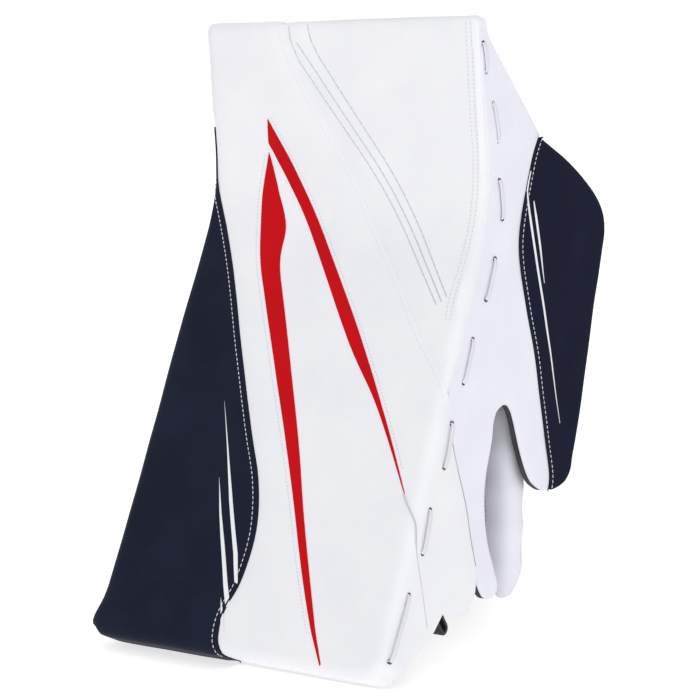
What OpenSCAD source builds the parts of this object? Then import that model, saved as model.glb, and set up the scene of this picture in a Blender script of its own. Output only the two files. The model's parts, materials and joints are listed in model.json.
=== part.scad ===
// Ice hockey goalkeeper's blocking glove: a bent board with a side wall, a thumb flap,
// and the glove that holds it. The board's upper part stands upright. +X is the thumb
// side, +Y runs from the board to the palm, +Z runs up the forearm. The origin is the
// middle of the cuff's mouth.

/* [Board] */
// Length of the board along its face
board_len = 381; // [360:1:381]
// Width of the board at its foot
board_w = 203; // [195:1:203]
// Share of the width that is lost from the foot to the head
board_taper = 0.05; // [0.03:0.01:0.07]
// Thickness of the whole board
board_t = 22; // [20:1:24]
// Radius of the board's front edges
edge_r = 5; // [4:1:8]
// Straight length above the wrist bend
bend_start = 75; // [70:1:80]
// Length of the bend along the face
bend_len = 55; // [50:1:60]
// Turn of the lower face towards the play
bend_angle = 30; // [28:1:32]
// Thickness that the foam loses from the bend up to the head
head_thinning = 11; // [8:1:12]

/* [Leather and foam] */
// Thickness of the outer synthetic leather
leather_t = 1.2; // [0.8:0.1:1.6]
// Height of a sewn-on colour panel
panel_t = 0.7; // [0.4:0.1:1]
// Thickness of the plastic sheet behind the foam
stiffener_t = 1.8; // [1:0.1:2.5]

/* [Side wall and thumb flap] */
// Thickness of the side wall
wall_t = 5; // [4:0.5:6]
// Gap along the flap's flex line
flex_gap = 1; // [0.8:0.1:1.5]

/* [Lace] */
// Thickness of the lace
lace_d = 2.2; // [1.8:0.1:2.6]
// Distance between two eyelets below the bend
eyelet_pitch = 25; // [23:0.5:26]
// Distance between two eyelets above it
upper_pitch = 19.6; // [18:0.2:20]

/* [Glove] */
// Wall of the glove, leather and lining together
glove_wall = 3; // [2.5:0.5:3.5]
// Lean of the fingers towards the board
finger_lean = 5; // [3:1:6]
// Bend of a knuckle
knuckle_bend = 50; // [40:5:50]
// Bend of a middle finger joint
finger_bend = 60; // [50:5:60]
// Running gap between two glove segments
joint_gap = 0.4; // [0.3:0.1:0.6]

/* [Wrist strap] */
// Width of the wrist strap
strap_w = 38; // [32:1:42]
// Thickness of the wrist strap
strap_t = 2.4; // [2:0.2:3]

/* [Hidden] */

$fn = 48;
big = 300;
white = "white";
navy = "#1d2440";
red = "#c4001a";
charcoal = "#26262a";
grey = "#77787c";

// The cuff's mouth, measured from the top middle of the board's face
cuff_mouth = [22, 66, -45];

bend_r = bend_len / (bend_angle * PI / 180);
bend_steps = 5;
bend_end = bend_start + bend_len;
bend_s = [for (i = [0 : bend_steps]) bend_start + bend_len * i / bend_steps];
foam_front = leather_t;
foam_back = board_t - leather_t - stiffener_t;
plate_back = board_t - leather_t;

// ---- Board: a place is given as s, the way down the face, and d, the depth behind it ----

// The depth d as it lies at s, where the foam thins towards the head
function thinned(s, d) = let (loss = head_thinning * max(0, 1 - s / bend_start))
    d - loss * min(1, max(0, (d - foam_front) / (foam_back - foam_front)));

// The point [y, z] that lies s down the face and d behind it
function along(s, d) =
    s <= bend_start ? [thinned(s, d), -s]
    : let (a = bend_angle * min(1, (s - bend_start) / bend_len), rest = max(0, s - bend_end))
        [-bend_r + (bend_r + d) * cos(a) - rest * sin(a),
         -bend_start - (bend_r + d) * sin(a) - rest * cos(a)];

function half_w(s) = board_w / 2 * (1 - board_taper * (1 - s / board_len));

// Stations along the face: a rounded end, the bend in steps, a rounded end
end_r = 4;
function stations(inset) = concat(
    [inset, inset + end_r],
    bend_s,
    [board_len - inset - end_r, board_len - inset]);

function quarter(cx, cd, r, from) =
    [for (i = [0 : 3]) [cx + r * cos(from + 30 * i), cd + r * sin(from + 30 * i)]];

// A rounded slab section in x and d
function slab_section(w, d0, d1, rf, rb) = concat(
    quarter(w - rf, d0 + rf, rf, -90), quarter(w - rb, d1 - rb, rb, 0),
    quarter(rb - w, d1 - rb, rb, 90), quarter(rf - w, d0 + rf, rf, 180));

function on_board(section, s) =
    [for (i = [len(section) - 1 : -1 : 0]) let (q = along(s, section[i][1])) [section[i][0], q[0], q[1]]];

// A closed solid through rings that all have the same number of points
module loft(rings) {
    n = len(rings[0]);
    last = (len(rings) - 1) * n;
    polyhedron(
        points = [for (ring = rings) each ring],
        faces = concat(
            [[for (i = [0 : n - 1]) i]],
            [[for (i = [n - 1 : -1 : 0]) last + i]],
            [for (j = [0 : len(rings) - 2], i = [0 : n - 1])
                let (k = (i + 1) % n, a = j * n, b = a + n)
                each [[a + i, b + k, a + k], [a + i, b + i, b + k]]]));
}

// One layer of the board, from depth d0 to d1, with its sides drawn in by inset
module board_layer(d0, d1, inset, rf, rb) {
    rows = stations(inset);
    function tuck(i) = (i == 0 || i == len(rows) - 1) ? 1 : 0;
    loft([for (i = [0 : len(rows) - 1])
        let (t = tuck(i), step = min(end_r, (d1 - d0) / 4))
        on_board(slab_section(half_w(rows[i]) - inset - t * step, d0 + t * step, d1 - t * step / 3,
                              rf, rb), rows[i])]);
}

// A bent sheet, wider than the board, from depth d0 to d1
module face_sheet(d0, d1, inset = 0) {
    rows = stations(inset);
    front = [for (s = rows) along(s, d0)];
    back = [for (i = [len(rows) - 1 : -1 : 0]) along(rows[i], d1)];
    translate([-big / 2, 0, 0]) extrude_x(big) polygon(concat(front, back));
}

// A sheet cut to the board's outline, with its corners cut off
module cut_sheet(d0, d1, inset) {
    cut = edge_r;
    head = along(inset, d0)[1];
    foot = along(board_len - inset, d1)[1];
    half = [for (s = [inset, board_len - inset]) half_w(s) - inset];
    corners = [[half[0] - cut, head], [half[0], head - cut], [half[1], foot + cut], [half[1] - cut, foot]];
    intersection() {
        face_sheet(d0, d1, inset);
        rotate([90, 0, 0]) linear_extrude(2 * big, center = true)
            polygon(concat(corners, [for (i = [3 : -1 : 0]) [-corners[i][0], corners[i][1]]]));
    }
}

// Extrudes a shape drawn in y and z along +X
module extrude_x(length) {
    rotate([90, 0, 90]) linear_extrude(length) children();
}

// A curve through the given points
function spline(p, n = 4) = [for (i = [0 : len(p) - 2], k = [0 : n - 1])
    let (a = p[max(i - 1, 0)], b = p[i], c = p[i + 1], d = p[min(i + 2, len(p) - 1)], t = k / n)
    0.5 * (2 * b + (c - a) * t + (2 * a - 5 * b + 4 * c - d) * t * t
           + (3 * b - a - 3 * c + d) * t * t * t)];
function last_of(p) = [p[len(p) - 1]];

// A sewn-on panel whose outline is given in x and s
module face_patch(outline) {
    intersection() {
        face_sheet(-panel_t, 0);
        rotate([90, 0, 0]) linear_extrude(2 * big, center = true)
            polygon([for (p = outline) [p[0], along(p[1], 0)[1]]]);
    }
}

module part_frame() {
    translate(-cuff_mouth) children();
}

module board_foam() color(grey) part_frame() difference() {
    board_layer(foam_front, foam_back, leather_t, edge_r - leather_t, 2);
    wall_bed();
    lace_channel();
}

module board_stiffener() color(charcoal) part_frame() difference() {
    cut_sheet(foam_back, plate_back, leather_t + 0.5);
    wall_bed();
    lace_channel();
}

module face_cover() color(white) part_frame() difference() {
    board_layer(0, plate_back, 0, edge_r, 1.5);
    board_layer(foam_front, plate_back + 5, leather_t, edge_r - leather_t, 0.4);
    wall_bed();
    lace_channel();
}

module back_cover() color(charcoal) part_frame() difference() {
    cut_sheet(plate_back, board_t, 0.5);
    wall_bed();
    lace_channel();
}

// A bound edge round the rim of the back, which stops where the finger guard is sewn on
binding_w = 8.5;
binding_t = 1.2;
module edge_binding() color(charcoal) part_frame() difference() {
    cut_sheet(board_t, board_t + binding_t, 0.5);
    cut_sheet(board_t - 2, board_t + binding_t + 2, binding_w + 0.5);
    wall_bed();
    guard_form();
    lace_channel();
}

// ---- Colour panels on the face: outlines in x and s ----

panel_margin = edge_r;
panel_seam = [[-88, 66], [-84, 110], [-70, 151], [-48, 201], [-26, 249], [-12, 278],
              [-4.5, 307], [-6, 336], [-11.5, 360], [-9, 375]];
function left_edge(s) = [-half_w(s) + panel_margin, s];

module face_panel() color(navy) part_frame()
    face_patch(concat(
        spline(panel_seam), last_of(panel_seam),
        [for (s = [375, bend_end, bend_start, 66]) left_edge(s)]));

long_left = [[-55, 78], [-59, 106], [-52, 141], [-34, 181], [7, 264], [60, 376]];
long_right = [[62, 376], [30, 300], [11, 252], [-21, 180], [-35, 147], [-37.6, 123], [-46, 103]];

module long_stripe() color(red) part_frame()
    face_patch(concat(spline(long_left), last_of(long_left), spline(long_right, 3), last_of(long_right)));

module short_stripe() color(red) part_frame()
    face_patch([[-54, 57], [-36, 90], [-8, 128], [33, 185], [88, 272], [86.5, 273],
                [27, 191], [-20, 124], [-45, 88], [-55, 72]]);

// ---- Side wall: outlines in y and z, drawn on the thumb side ----

wall_lean = atan(board_w * board_taper / 2 / board_len);
wall_x = half_w(0);
flex_top = [47.8, -55];
arch_top = [4.4, -222.6];

// Puts a shape drawn in y and z between two depths inside the wall's outer face
module in_wall(from, to) {
    translate([wall_x, 0, 0]) rotate([0, -wall_lean, 0]) translate([-to, 0, 0])
        extrude_x(to - from) children();
}

// Front edge of the wall, which lies in the board's side
flange_d = 5;
flange_s = [9, 375];
flange = [for (s = concat(flange_s[0], bend_s, flange_s[1])) along(s, flange_d)];
foot_edge = [along(343, 40), along(331, 39), along(329, 60)];
guard_edge = [along(325, 70), along(312, 73), along(299, 70)];
tongue_edge = [[-36, -318], [-30, -328], [-21, -331], [-14, -327], [-17, -313],
               [-21, -298], [-22, -276], [-18, -258], [-9, -240], [-5.5, -230], [-1, -224]];

module wall_outline() {
    polygon(concat(
        flange, foot_edge, spline(guard_edge), last_of(guard_edge),
        spline(tongue_edge), last_of(tongue_edge),
        [arch_top, flex_top], [[34.5, -38.6], [7, -6]]));
}

arch_edge = [[8, -223.5], [12, -227.5], [15, -235], [20, -253], [28.5, -272], [40, -281], [54, -286]];
flap_heel = [[54, -286], [69, -286], [77, -281], [80, -272]];
flap_back = [[80, -272], [87, -256], [110, -198], [130, -152]];
flap_head = [[130, -152], [135, -139], [134.5, -126], [128, -114], [113.5, -100.5], [94, -88.5],
             [61, -71.8]];

module flap_outline() {
    across = [flex_gap, 0];
    polygon(concat(
        spline(arch_edge), spline(flap_heel), spline(flap_back), spline(flap_head), last_of(flap_head),
        [flex_top + across + [3, -3], arch_top + across]));
}

panel_edge = [[61, -73.5], [50, -80.5], [41, -102], [33, -130], [34.5, -160], [41, -197],
              [46, -234], [51, -272], [48, -281]];

module flap_panel_outline() {
    intersection() {
        flap_outline();
        polygon(concat(spline(panel_edge), last_of(panel_edge),
                       [[48, -300], [150, -300], [150, -60], [61, -60]]));
    }
}

cover_t = 1;
lining_t = 0.8;

module wall_cover() color(white) part_frame() difference() {
    in_wall(0, cover_t) wall_outline();
    lace_channel();
}
module wall_foam() color(grey) part_frame() difference() {
    in_wall(cover_t, wall_t - lining_t) wall_outline();
    lace_channel();
}
module wall_lining() color(charcoal) part_frame() difference() {
    in_wall(wall_t - lining_t, wall_t) wall_outline();
    lace_channel();
}

module flap_cover() color(white) part_frame() in_wall(0, cover_t) flap_outline();
module flap_foam() color(grey) part_frame() in_wall(cover_t, wall_t - lining_t) flap_outline();
module flap_lining() color(charcoal) part_frame() in_wall(wall_t - lining_t, wall_t) flap_outline();
module flap_panel() color(navy) part_frame() in_wall(-panel_t, 0) flap_panel_outline();

// The room that the wall takes out of the board's side
module wall_bed() in_wall(-2, wall_t) wall_outline();

// ---- Lace: a running stitch through the eyelets, from the head to the foot ----

lace_start = 15;
eyelet_count = 16;
eyelet_at_bend = 6;
foot_pitch = 34;
lace_line = [[15, 9], [32, 10.5], [52, 13], [71, 14.5], [91, 15], [110, 20], [155, 21], [180, 17.5],
             [205, 17.5], [230, 15], [255, 15.5], [280, 11.5], [305, 13], [330, 10.5], [364, 8]];
function lace_depth(s) = lookup(s, lace_line);
function wall_out(z) = wall_x - z * tan(wall_lean);
stitch_out = lace_d / 2 + 0.6;
stitch_in = wall_t + lace_d / 2 + 0.3;

// Eyelets sit closer above the bend, and the last one lies a long stitch below the others
function eyelet_s(i) = let (last = i == eyelet_count - 1 ? foot_pitch - eyelet_pitch : 0)
    lace_start + upper_pitch * min(i, eyelet_at_bend) + eyelet_pitch * max(0, i - eyelet_at_bend) + last;

// A point on the lace, out from the wall's face by rise
function lace_point(s, rise) =
    let (q = along(s, lace_depth(s))) [wall_out(q[1]) + rise, q[0], q[1]];

// From eyelet i, odd stretches lie inside and even ones lie outside
function lace_run(i) = let (
        s = eyelet_s(i), next = eyelet_s(i + 1), rise = i % 2 == 0 ? stitch_out : -stitch_in)
    [lace_point(s, -rise * 0.2 - wall_t / 3), lace_point(s + 2, rise), lace_point((s + next) / 2, rise),
     lace_point(next - 2, rise)];

lace_route = concat(
    [lace_point(lace_start, -stitch_in)],
    [for (i = [0 : eyelet_count - 2]) each lace_run(i)],
    [lace_point(eyelet_s(eyelet_count - 1), -stitch_in)]);

function unit(v) = v / norm(v);
function sweep_ring(route, i, r, sides) = let (
        ahead = unit(route[min(i + 1, len(route) - 1)] - route[max(i - 1, 0)]),
        side = unit(cross(ahead, [0, 1, 0.3])),
        up = cross(side, ahead))
    [for (k = [0 : sides - 1]) route[i] + r * (cos(360 * k / sides) * side + sin(360 * k / sides) * up)];

module side_lace() color(white) part_frame()
    loft([for (i = [0 : len(lace_route) - 1]) sweep_ring(lace_route, i, lace_d / 2, 8)]);

eyelet_r = 2.1;
eyelet_bore = 1.6;
eyelet_rim = 0.4;
rim_t = 0.4;
hole_in = 3.6;
groove_w = 3.4;

module eyelet_axis(i) {
    q = along(eyelet_s(i), lace_depth(eyelet_s(i)));
    translate([wall_out(q[1]), q[0], q[1]]) rotate([0, 90 - wall_lean, 0]) children();
}

// Room for the lace behind the wall, and its holes through it
module lace_channel() {
    for (i = [0 : eyelet_count - 1]) eyelet_axis(i) translate([0, 0, -wall_t - hole_in])
        cylinder(r = eyelet_r + 0.05, h = wall_t + hole_in + 1, $fn = 24);
    for (i = [1 : 2 : eyelet_count - 2]) {
        a = lace_point(eyelet_s(i), -stitch_in);
        b = lace_point(eyelet_s(i + 1), -stitch_in);
        mid = (a + b) / 2;
        tilt = atan2(b[1] - a[1], a[2] - b[2]);
        translate(mid) rotate([tilt, 0, 0]) cube([groove_w, groove_w, norm(b - a)], center = true);
    }
}

module eyelets() color(charcoal) part_frame()
    for (i = [0 : eyelet_count - 1]) eyelet_axis(i) difference() {
        union() {
            translate([0, 0, -wall_t]) cylinder(r = eyelet_r, h = wall_t + 0.1, $fn = 24);
            translate([0, 0, 0.02]) cylinder(r = eyelet_r + eyelet_rim, h = rim_t, $fn = 24);
        }
        translate([0, 0, -wall_t - 1]) cylinder(r = eyelet_bore, h = wall_t + 3, $fn = 24);
    }

// ---- Finger guard: a pad on the board's back, in front of the fingers ----

guard_x = [54, wall_x + 240 * tan(wall_lean) - wall_t - 0.05];
guard_foot = board_t + 0.05;
guard_line = [along(246, guard_foot), along(266, 42), along(283, 58), along(299, 68), along(312, 71),
              along(324, 68), along(330, 56), along(332, 39), along(336, guard_foot)];
guard_core = [along(256, guard_foot), along(280, 42), along(300, 54), along(318, 52),
              along(326, guard_foot)];
guard_full = 14;

module guard_form() hull() {
    translate([guard_x[1] - guard_full, 0, 0]) extrude_x(guard_full) polygon(guard_line);
    translate([guard_x[0], 0, 0]) extrude_x(1) polygon(guard_core);
}
module index_guard() color(white) part_frame() guard_form();

// A folded webbing end under the guard, by which it is drawn down to the board
module guard_strap() color(charcoal) part_frame() {
    foot = along(331, 55);
    difference() {
        translate([84, foot[0], foot[1]]) rotate([30, 0, 0]) hull() {
            translate([0, 0, -9]) rotate([0, 90, 0]) cylinder(r = 4.5, h = 10, $fn = 32);
            translate([0, -6, -1]) cube([10, 12, 1]);
        }
        guard_form();
    }
}

// ---- Glove: level rings [z, middle x, middle y, half width, half depth] ----

glove_rows = [
    [-45, 22, 66, 50, 37], [-60, 23, 65.5, 47, 34.5], [-80, 25, 64, 44, 31.5], [-100, 27.5, 61, 42, 29.5],
    [-118, 30, 57.5, 42, 28], [-140, 34, 53.5, 45, 26.5], [-165, 39, 48.5, 48, 24],
    [-192, 43.5, 43.5, 48.5, 20], [-214, 45.2, 39.5, 47.8, 16.5], [-229, 45.3, 37, 47.9, 14.8]];
cuff_last = 3;
wrist_z = glove_rows[cuff_last][0];
knuckle_z = -232;
knuckle_y = 36.4;

function row_at(z) = let (
        i = max([for (k = [0 : len(glove_rows) - 2]) glove_rows[k][0] >= z ? k : 0]),
        a = glove_rows[i], b = glove_rows[i + 1], t = (z - a[0]) / (b[0] - a[0]))
    a + (b - a) * t;

// A rounded oval ring, grown by grow in width and by deep in depth
oval_n = 28;
oval_power = 0.85;
function bow(v) = sign(v) * pow(abs(v), oval_power);
function oval(row, grow, deep) = [for (i = [0 : oval_n - 1]) let (a = -360 * i / oval_n)
    [row[1] + (row[3] + grow) * bow(cos(a)), row[2] + (row[4] + deep) * bow(sin(a)), row[0]]];

// The glove's form between two heights, grown outwards by grow
module glove_form(top, bottom, grow, deep = undef) {
    levels = concat([top], [for (r = glove_rows) if (r[0] < top - 1 && r[0] > bottom + 1) r[0]], [bottom]);
    loft([for (z = levels) oval(row_at(z), grow, deep == undef ? grow : deep)]);
}

// Everything on the board's side of the glove's middle (side = -1), or on the palm's (side = 1)
module glove_half(side, shift = 0) {
    midline = [for (r = glove_rows) [r[2] + shift, r[0]]];
    head = midline[0][0];
    tail = midline[len(midline) - 1][0];
    far = head + side * big;
    translate([-big / 2, 0, 0]) extrude_x(big)
        polygon(concat([[head, 0]], midline, [[tail, -big], [far, -big], [far, 0]]));
}

// ---- Fingers: [x, radius, length of the base, length of the tip] ----

finger_wall = 2.4;
index = [78.5, 12.5, 50, 64];
middle = [54.2, 11, 50, 63];
ring = [31.4, 11, 48, 60];
little = [9.6, 10, 42, 50];
fingers = [index, middle, ring, little];
seat_lip = 4.5;

thumb = [0, 12.5, 44, 46];
thumb_root = [76, 88, -152];
thumb_turn = [11, -3, 0];
thumb_bend = 35;

module at_knuckle(finger) {
    translate([finger[0], knuckle_y, knuckle_z]) rotate([-finger_lean, 0, 0]) children();
}
module at_thumb() {
    translate(thumb_root) rotate(thumb_turn) rotate([0, 0, 90]) children();
}

function arc(r, from, to, dz = 0, n = 6) =
    [for (i = [0 : n]) let (a = from + (to - from) * i / n) [r * cos(a), r * sin(a) + dz]];

// Room for the next segment to bend towards +Y about a joint at the origin
module bend_room(r, angle) {
    sphere(r = r + joint_gap);
    rotate([angle + 2, 0, 0]) translate([-big / 2, 0, -big / 2]) cube([big, big / 2, big / 2]);
}

// An open tube whose upper end is a ball round its joint
module stall_base(spec, bend) {
    r = spec[1];
    bore = r - finger_wall;
    length = spec[2];
    difference() {
        rotate_extrude() polygon(concat(
            [[bore, seat_lip - length], [bore, sqrt(r * r - bore * bore)]],
            arc(r, acos(bore / r), 0), [[r, seat_lip - length]]));
        translate([0, 0, -length]) bend_room(r, bend);
    }
}

// A closed fingertip whose upper end is a ball round its joint
module stall_tip(spec) {
    r = spec[1];
    bore = r - finger_wall;
    end_r = r * 0.9;
    end_z = end_r - spec[3];
    rotate_extrude() polygon(concat(
        [[bore, sqrt(r * r - bore * bore)]], arc(r, acos(bore / r), 0),
        arc(end_r, 0, -90, end_z), arc(end_r - finger_wall, -90, 0, end_z)));
}

module finger_base(finger) color(grey) part_frame() at_knuckle(finger) stall_base(finger, finger_bend);
module finger_tip(finger) color(white) part_frame() at_knuckle(finger)
    translate([0, 0, -finger[2]]) stall_tip(finger);

module thumb_base() color(grey) part_frame() at_thumb() stall_base(thumb, thumb_bend);
module thumb_tip() color(grey) part_frame() at_thumb() translate([0, 0, -thumb[2]]) stall_tip(thumb);

// ---- Hand of the glove ----

cavity_end = -211;

module hand_shell() {
    difference() {
        glove_form(wrist_z, glove_rows[len(glove_rows) - 1][0], 0);
        glove_form(wrist_z + 1, cavity_end, -glove_wall);
        for (finger = fingers) at_knuckle(finger) {
            sphere(r = finger[1] + joint_gap);
            translate([0, 0, 1]) cylinder(r = finger[1] - finger_wall, h = knuckle_z * -1 + cavity_end + 2);
        }
        at_knuckle([0, 0]) rotate([knuckle_bend + 2, 0, 0])
            translate([-big, 0, -big / 2]) cube([2 * big, big / 2, big / 2]);
        thumb_passage();
    }
}

thumb_mouth = [64, 68, -128];
gusset_r = 14;
gusset_rim = 2.6;

module thumb_passage() {
    hull() {
        translate(thumb_mouth - [6, 12, 0]) sphere(r = 10, $fn = 24);
        translate(thumb_root) sphere(r = thumb[1] - finger_wall, $fn = 24);
    }
}

module thumb_gusset() color(grey) part_frame() difference() {
    hull() {
        translate(thumb_mouth) sphere(r = gusset_r, $fn = 32);
        at_thumb() translate([0, 0, seat_lip]) cylinder(r = thumb[1] + gusset_rim, h = 8, $fn = 32);
    }
    thumb_passage();
    at_thumb() {
        bend_room(thumb[1], thumb_bend);
        translate([0, 0, -big / 2 + seat_lip]) cube(big, center = true);
    }
    glove_form(wrist_z, -229, 0);
}

module glove_back() color(charcoal) part_frame() intersection() {
    hand_shell();
    glove_half(-1);
}

module glove_palm() color(charcoal) part_frame() intersection() {
    hand_shell();
    glove_half(1);
}

// The palm's wear patch: its heights, its place across the palm and how far round it reaches
patch_t = 1.2;
patch_z = [-153, -208];
patch_x = [14, 72];
patch_reach = 8;
module palm_patch() color(grey) part_frame() intersection() {
    difference() {
        glove_form(patch_z[0], patch_z[1], patch_t);
        glove_form(wrist_z, glove_rows[len(glove_rows) - 1][0], 0);
    }
    glove_half(1, patch_reach);
    translate([patch_x[0], 0, patch_z[1]]) cube([patch_x[1] - patch_x[0], big, patch_z[0] - patch_z[1]]);
}

// The pad on the back of the hand
pad_depth = 11;
pad_z = [-156, -222];
pad_inset = 4;
module backhand_pad() color(grey) part_frame() intersection() {
    difference() {
        glove_form(pad_z[0], pad_z[1], -pad_inset, pad_depth);
        glove_form(pad_z[0] + 6, pad_z[1] - 7, 0.1);
    }
    glove_half(-1, -pad_inset);
}

// The foam wedge that holds the glove off the board's bend
wedge_x = [-8, 64];
wedge_foot = 140;
wedge_back = [[56, -152], [60, -75]];
module mount_wedge() color(charcoal) part_frame() difference() {
    intersection() {
        translate([wedge_x[0], 0, 0]) extrude_x(wedge_x[1] - wedge_x[0]) polygon(concat(
            [for (s = bend_s) along(s, board_t)],
            [along(wedge_foot, board_t)], wedge_back));
        glove_half(-1, -6);
    }
    glove_form(cuff_top, -229, 0);
}

// ---- Cuff and wrist strap ----

cuff_top = cuff_mouth[2];
shell_t = 2.4;
cuff_wall = 6;

module cuff_shell() color(charcoal) part_frame() difference() {
    glove_form(cuff_top, wrist_z, 0);
    glove_core(-shell_t);
}

// The inside of the cuff, open at both ends
module glove_core(grow) {
    rows = [for (i = [0 : cuff_last]) glove_rows[i]];
    loft(concat([oval(rows[0] + [1, 0, 0, 0, 0], grow, grow)], [for (r = rows) oval(r, grow, grow)],
                [oval(rows[cuff_last] - [1, 0, 0, 0, 0], grow, grow)]));
}

module cuff_lining() color(grey) part_frame() difference() {
    glove_form(cuff_top, wrist_z, -shell_t);
    glove_core(-cuff_wall);
}

trim_h = 9;
trim_t = 1.2;
module cuff_trim() color(navy) part_frame() difference() {
    glove_form(cuff_top, cuff_top - trim_h, trim_t);
    glove_core(0);
}

strap_top = -60;
strap_out = 1.6;
strap_start = 4;

module strap_zone() {
    difference() {
        glove_form(strap_top, strap_top - strap_w, strap_out + strap_t);
        glove_core(strap_out);
    }
}

module wrist_strap() color(charcoal) part_frame() difference() {
    intersection() {
        strap_zone();
        glove_half(1, strap_start);
    }
    tab_room();
}

// The side of the wrist where the strap's free end lies
tab_x = 40;
tab_reach = 16;
module tab_room() intersection() {
    translate([tab_x, 0, -big]) cube([big, big, big]);
    glove_half(-1, tab_reach);
}

module strap_end() color(navy) part_frame() intersection() {
    strap_zone();
    glove_half(1, strap_start);
    tab_room();
}

// The loop patch on the cuff that the strap's end holds to
loop_x = 30;
loop_margin = 3;
loop_t = 1.2;
module hook_patch() color(grey) part_frame() intersection() {
    difference() {
        glove_form(strap_top - loop_margin, strap_top - strap_w + loop_margin, loop_t);
        glove_core(0);
    }
    glove_half(1, strap_start * 2);
    translate([loop_x, 0, -big]) cube([big, big, big]);
}

module strap_anchor() color(charcoal) part_frame() intersection() {
    difference() {
        glove_form(strap_top, strap_top - strap_w, strap_out + strap_t);
        glove_core(0);
    }
    glove_half(1, strap_start - 16);
    glove_half(-1, strap_start - 0.6);
    translate([-big, 0, -big]) cube([big, big, big]);
}

board_foam();
board_stiffener();
face_cover();
back_cover();
edge_binding();
face_panel();
long_stripe();
short_stripe();
wall_foam();
wall_cover();
wall_lining();
side_lace();
eyelets();
index_guard();
guard_strap();
flap_foam();
flap_cover();
flap_panel();
flap_lining();
mount_wedge();
backhand_pad();
glove_back();
glove_palm();
palm_patch();
thumb_gusset();
cuff_shell();
cuff_lining();
cuff_trim();
hook_patch();
strap_anchor();
wrist_strap();
strap_end();
finger_base(index);  // index_base
finger_tip(index);  // index_tip
finger_base(middle);  // middle_base
finger_tip(middle);  // middle_tip
finger_base(ring);  // ring_base
finger_tip(ring);  // ring_tip
finger_base(little);  // little_base
finger_tip(little);  // little_tip
thumb_base();
thumb_tip();
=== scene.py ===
"""Looks of an ice hockey goalkeeper's blocking glove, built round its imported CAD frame.

The board is measured in millimetres: x across from its middle, s down its face from the head, d back
from its face, and y and z as in the row frame. BoardForm turns those places into the frame's metres.
"""

import json
import logging
import math
from dataclasses import dataclass, field
from enum import Enum
from functools import lru_cache
from typing import Callable, Mapping, Optional, Sequence, Union

import bpy
import numpy as np
from mathutils import Matrix, Vector
from mathutils.bvhtree import BVHTree

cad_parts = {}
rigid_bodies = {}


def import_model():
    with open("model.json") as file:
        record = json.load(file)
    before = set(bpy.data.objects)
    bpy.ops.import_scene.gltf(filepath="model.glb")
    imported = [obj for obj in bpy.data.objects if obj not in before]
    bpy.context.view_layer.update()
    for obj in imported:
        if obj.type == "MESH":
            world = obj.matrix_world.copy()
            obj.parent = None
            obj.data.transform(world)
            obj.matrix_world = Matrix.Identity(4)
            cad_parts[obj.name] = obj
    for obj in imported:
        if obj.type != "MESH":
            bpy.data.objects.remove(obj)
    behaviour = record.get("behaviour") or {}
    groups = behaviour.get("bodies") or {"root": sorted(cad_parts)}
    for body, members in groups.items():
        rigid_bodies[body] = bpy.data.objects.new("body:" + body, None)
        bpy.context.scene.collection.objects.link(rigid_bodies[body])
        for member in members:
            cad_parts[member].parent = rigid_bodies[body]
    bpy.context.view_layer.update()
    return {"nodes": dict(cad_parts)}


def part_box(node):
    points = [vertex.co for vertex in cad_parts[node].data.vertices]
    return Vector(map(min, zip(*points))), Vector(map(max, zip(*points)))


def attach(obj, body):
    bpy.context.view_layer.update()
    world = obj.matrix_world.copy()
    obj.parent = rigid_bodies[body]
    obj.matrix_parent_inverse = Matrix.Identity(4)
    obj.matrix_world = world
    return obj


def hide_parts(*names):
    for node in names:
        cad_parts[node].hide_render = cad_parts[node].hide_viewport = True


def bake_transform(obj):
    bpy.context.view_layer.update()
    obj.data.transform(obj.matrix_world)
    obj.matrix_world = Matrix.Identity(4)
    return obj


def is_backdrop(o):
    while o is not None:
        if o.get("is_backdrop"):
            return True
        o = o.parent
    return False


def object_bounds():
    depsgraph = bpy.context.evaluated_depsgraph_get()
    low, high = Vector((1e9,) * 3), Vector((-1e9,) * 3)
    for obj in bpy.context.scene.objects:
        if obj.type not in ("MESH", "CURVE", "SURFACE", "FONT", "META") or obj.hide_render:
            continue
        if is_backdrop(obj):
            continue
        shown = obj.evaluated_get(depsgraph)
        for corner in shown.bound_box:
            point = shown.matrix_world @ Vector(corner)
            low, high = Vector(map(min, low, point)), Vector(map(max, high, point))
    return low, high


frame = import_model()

Array = np.ndarray
Obj = bpy.types.Object
Flat = Sequence[tuple[float, float]]
MM = 0.001
LOG = logging.getLogger("blocking_glove")

# Named places in the photograph's 700 by 700 frame
IMAGE_W, IMAGE_H = 700, 700
IMAGE_POINTS = {
    "object_left": (93.0, None),
    "object_right": (606.5, None),
    "object_top": (None, 16.0),
    "object_bottom": (None, 688.0),
    "long_stripe_apex": (269.0, 152.0),
    "short_stripe_apex": (267.7, 118.5),
    "short_stripe_tip": (405.0, 496.0),
    "navy_bulge": (257.5, 493.0),
    "sliver_head": (224.5, 401.0),
    "first_lace_stitch": (485.5, 57.5),
    "last_lace_stitch": (397.0, 628.0),
    "arch_crown": (503.0, 407.0),
    "thumb_corner": (606.5, 227.0),
    "thumb_line_head": (530.0, 171.0),
    "tongue_foot": (489.0, 598.0),
    "index_end": (505.0, 597.0),
    "guard_loop": (445.0, 635.0),
}


class Slot(Enum):
    """The record's material slots that the pieces use."""

    WHITE = "white_leather"
    NAVY = "navy_leather"
    RED = "red_leather"
    FOAM = "foam"
    NYLON = "back_nylon"
    WEBBING = "black_webbing"
    KNIT = "dark_lining"
    CHARCOAL = "charcoal_leather"
    LOOP = "hook_tape"
    LACE = "lace_cord"
    EYELET = "eyelet_metal"


class Body(Enum):
    """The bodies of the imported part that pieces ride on, apart from the fingers."""

    SHELL = "shell"
    FLAP = "thumb_flap"
    STRAP = "strap"


# ---- Materials ----


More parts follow.
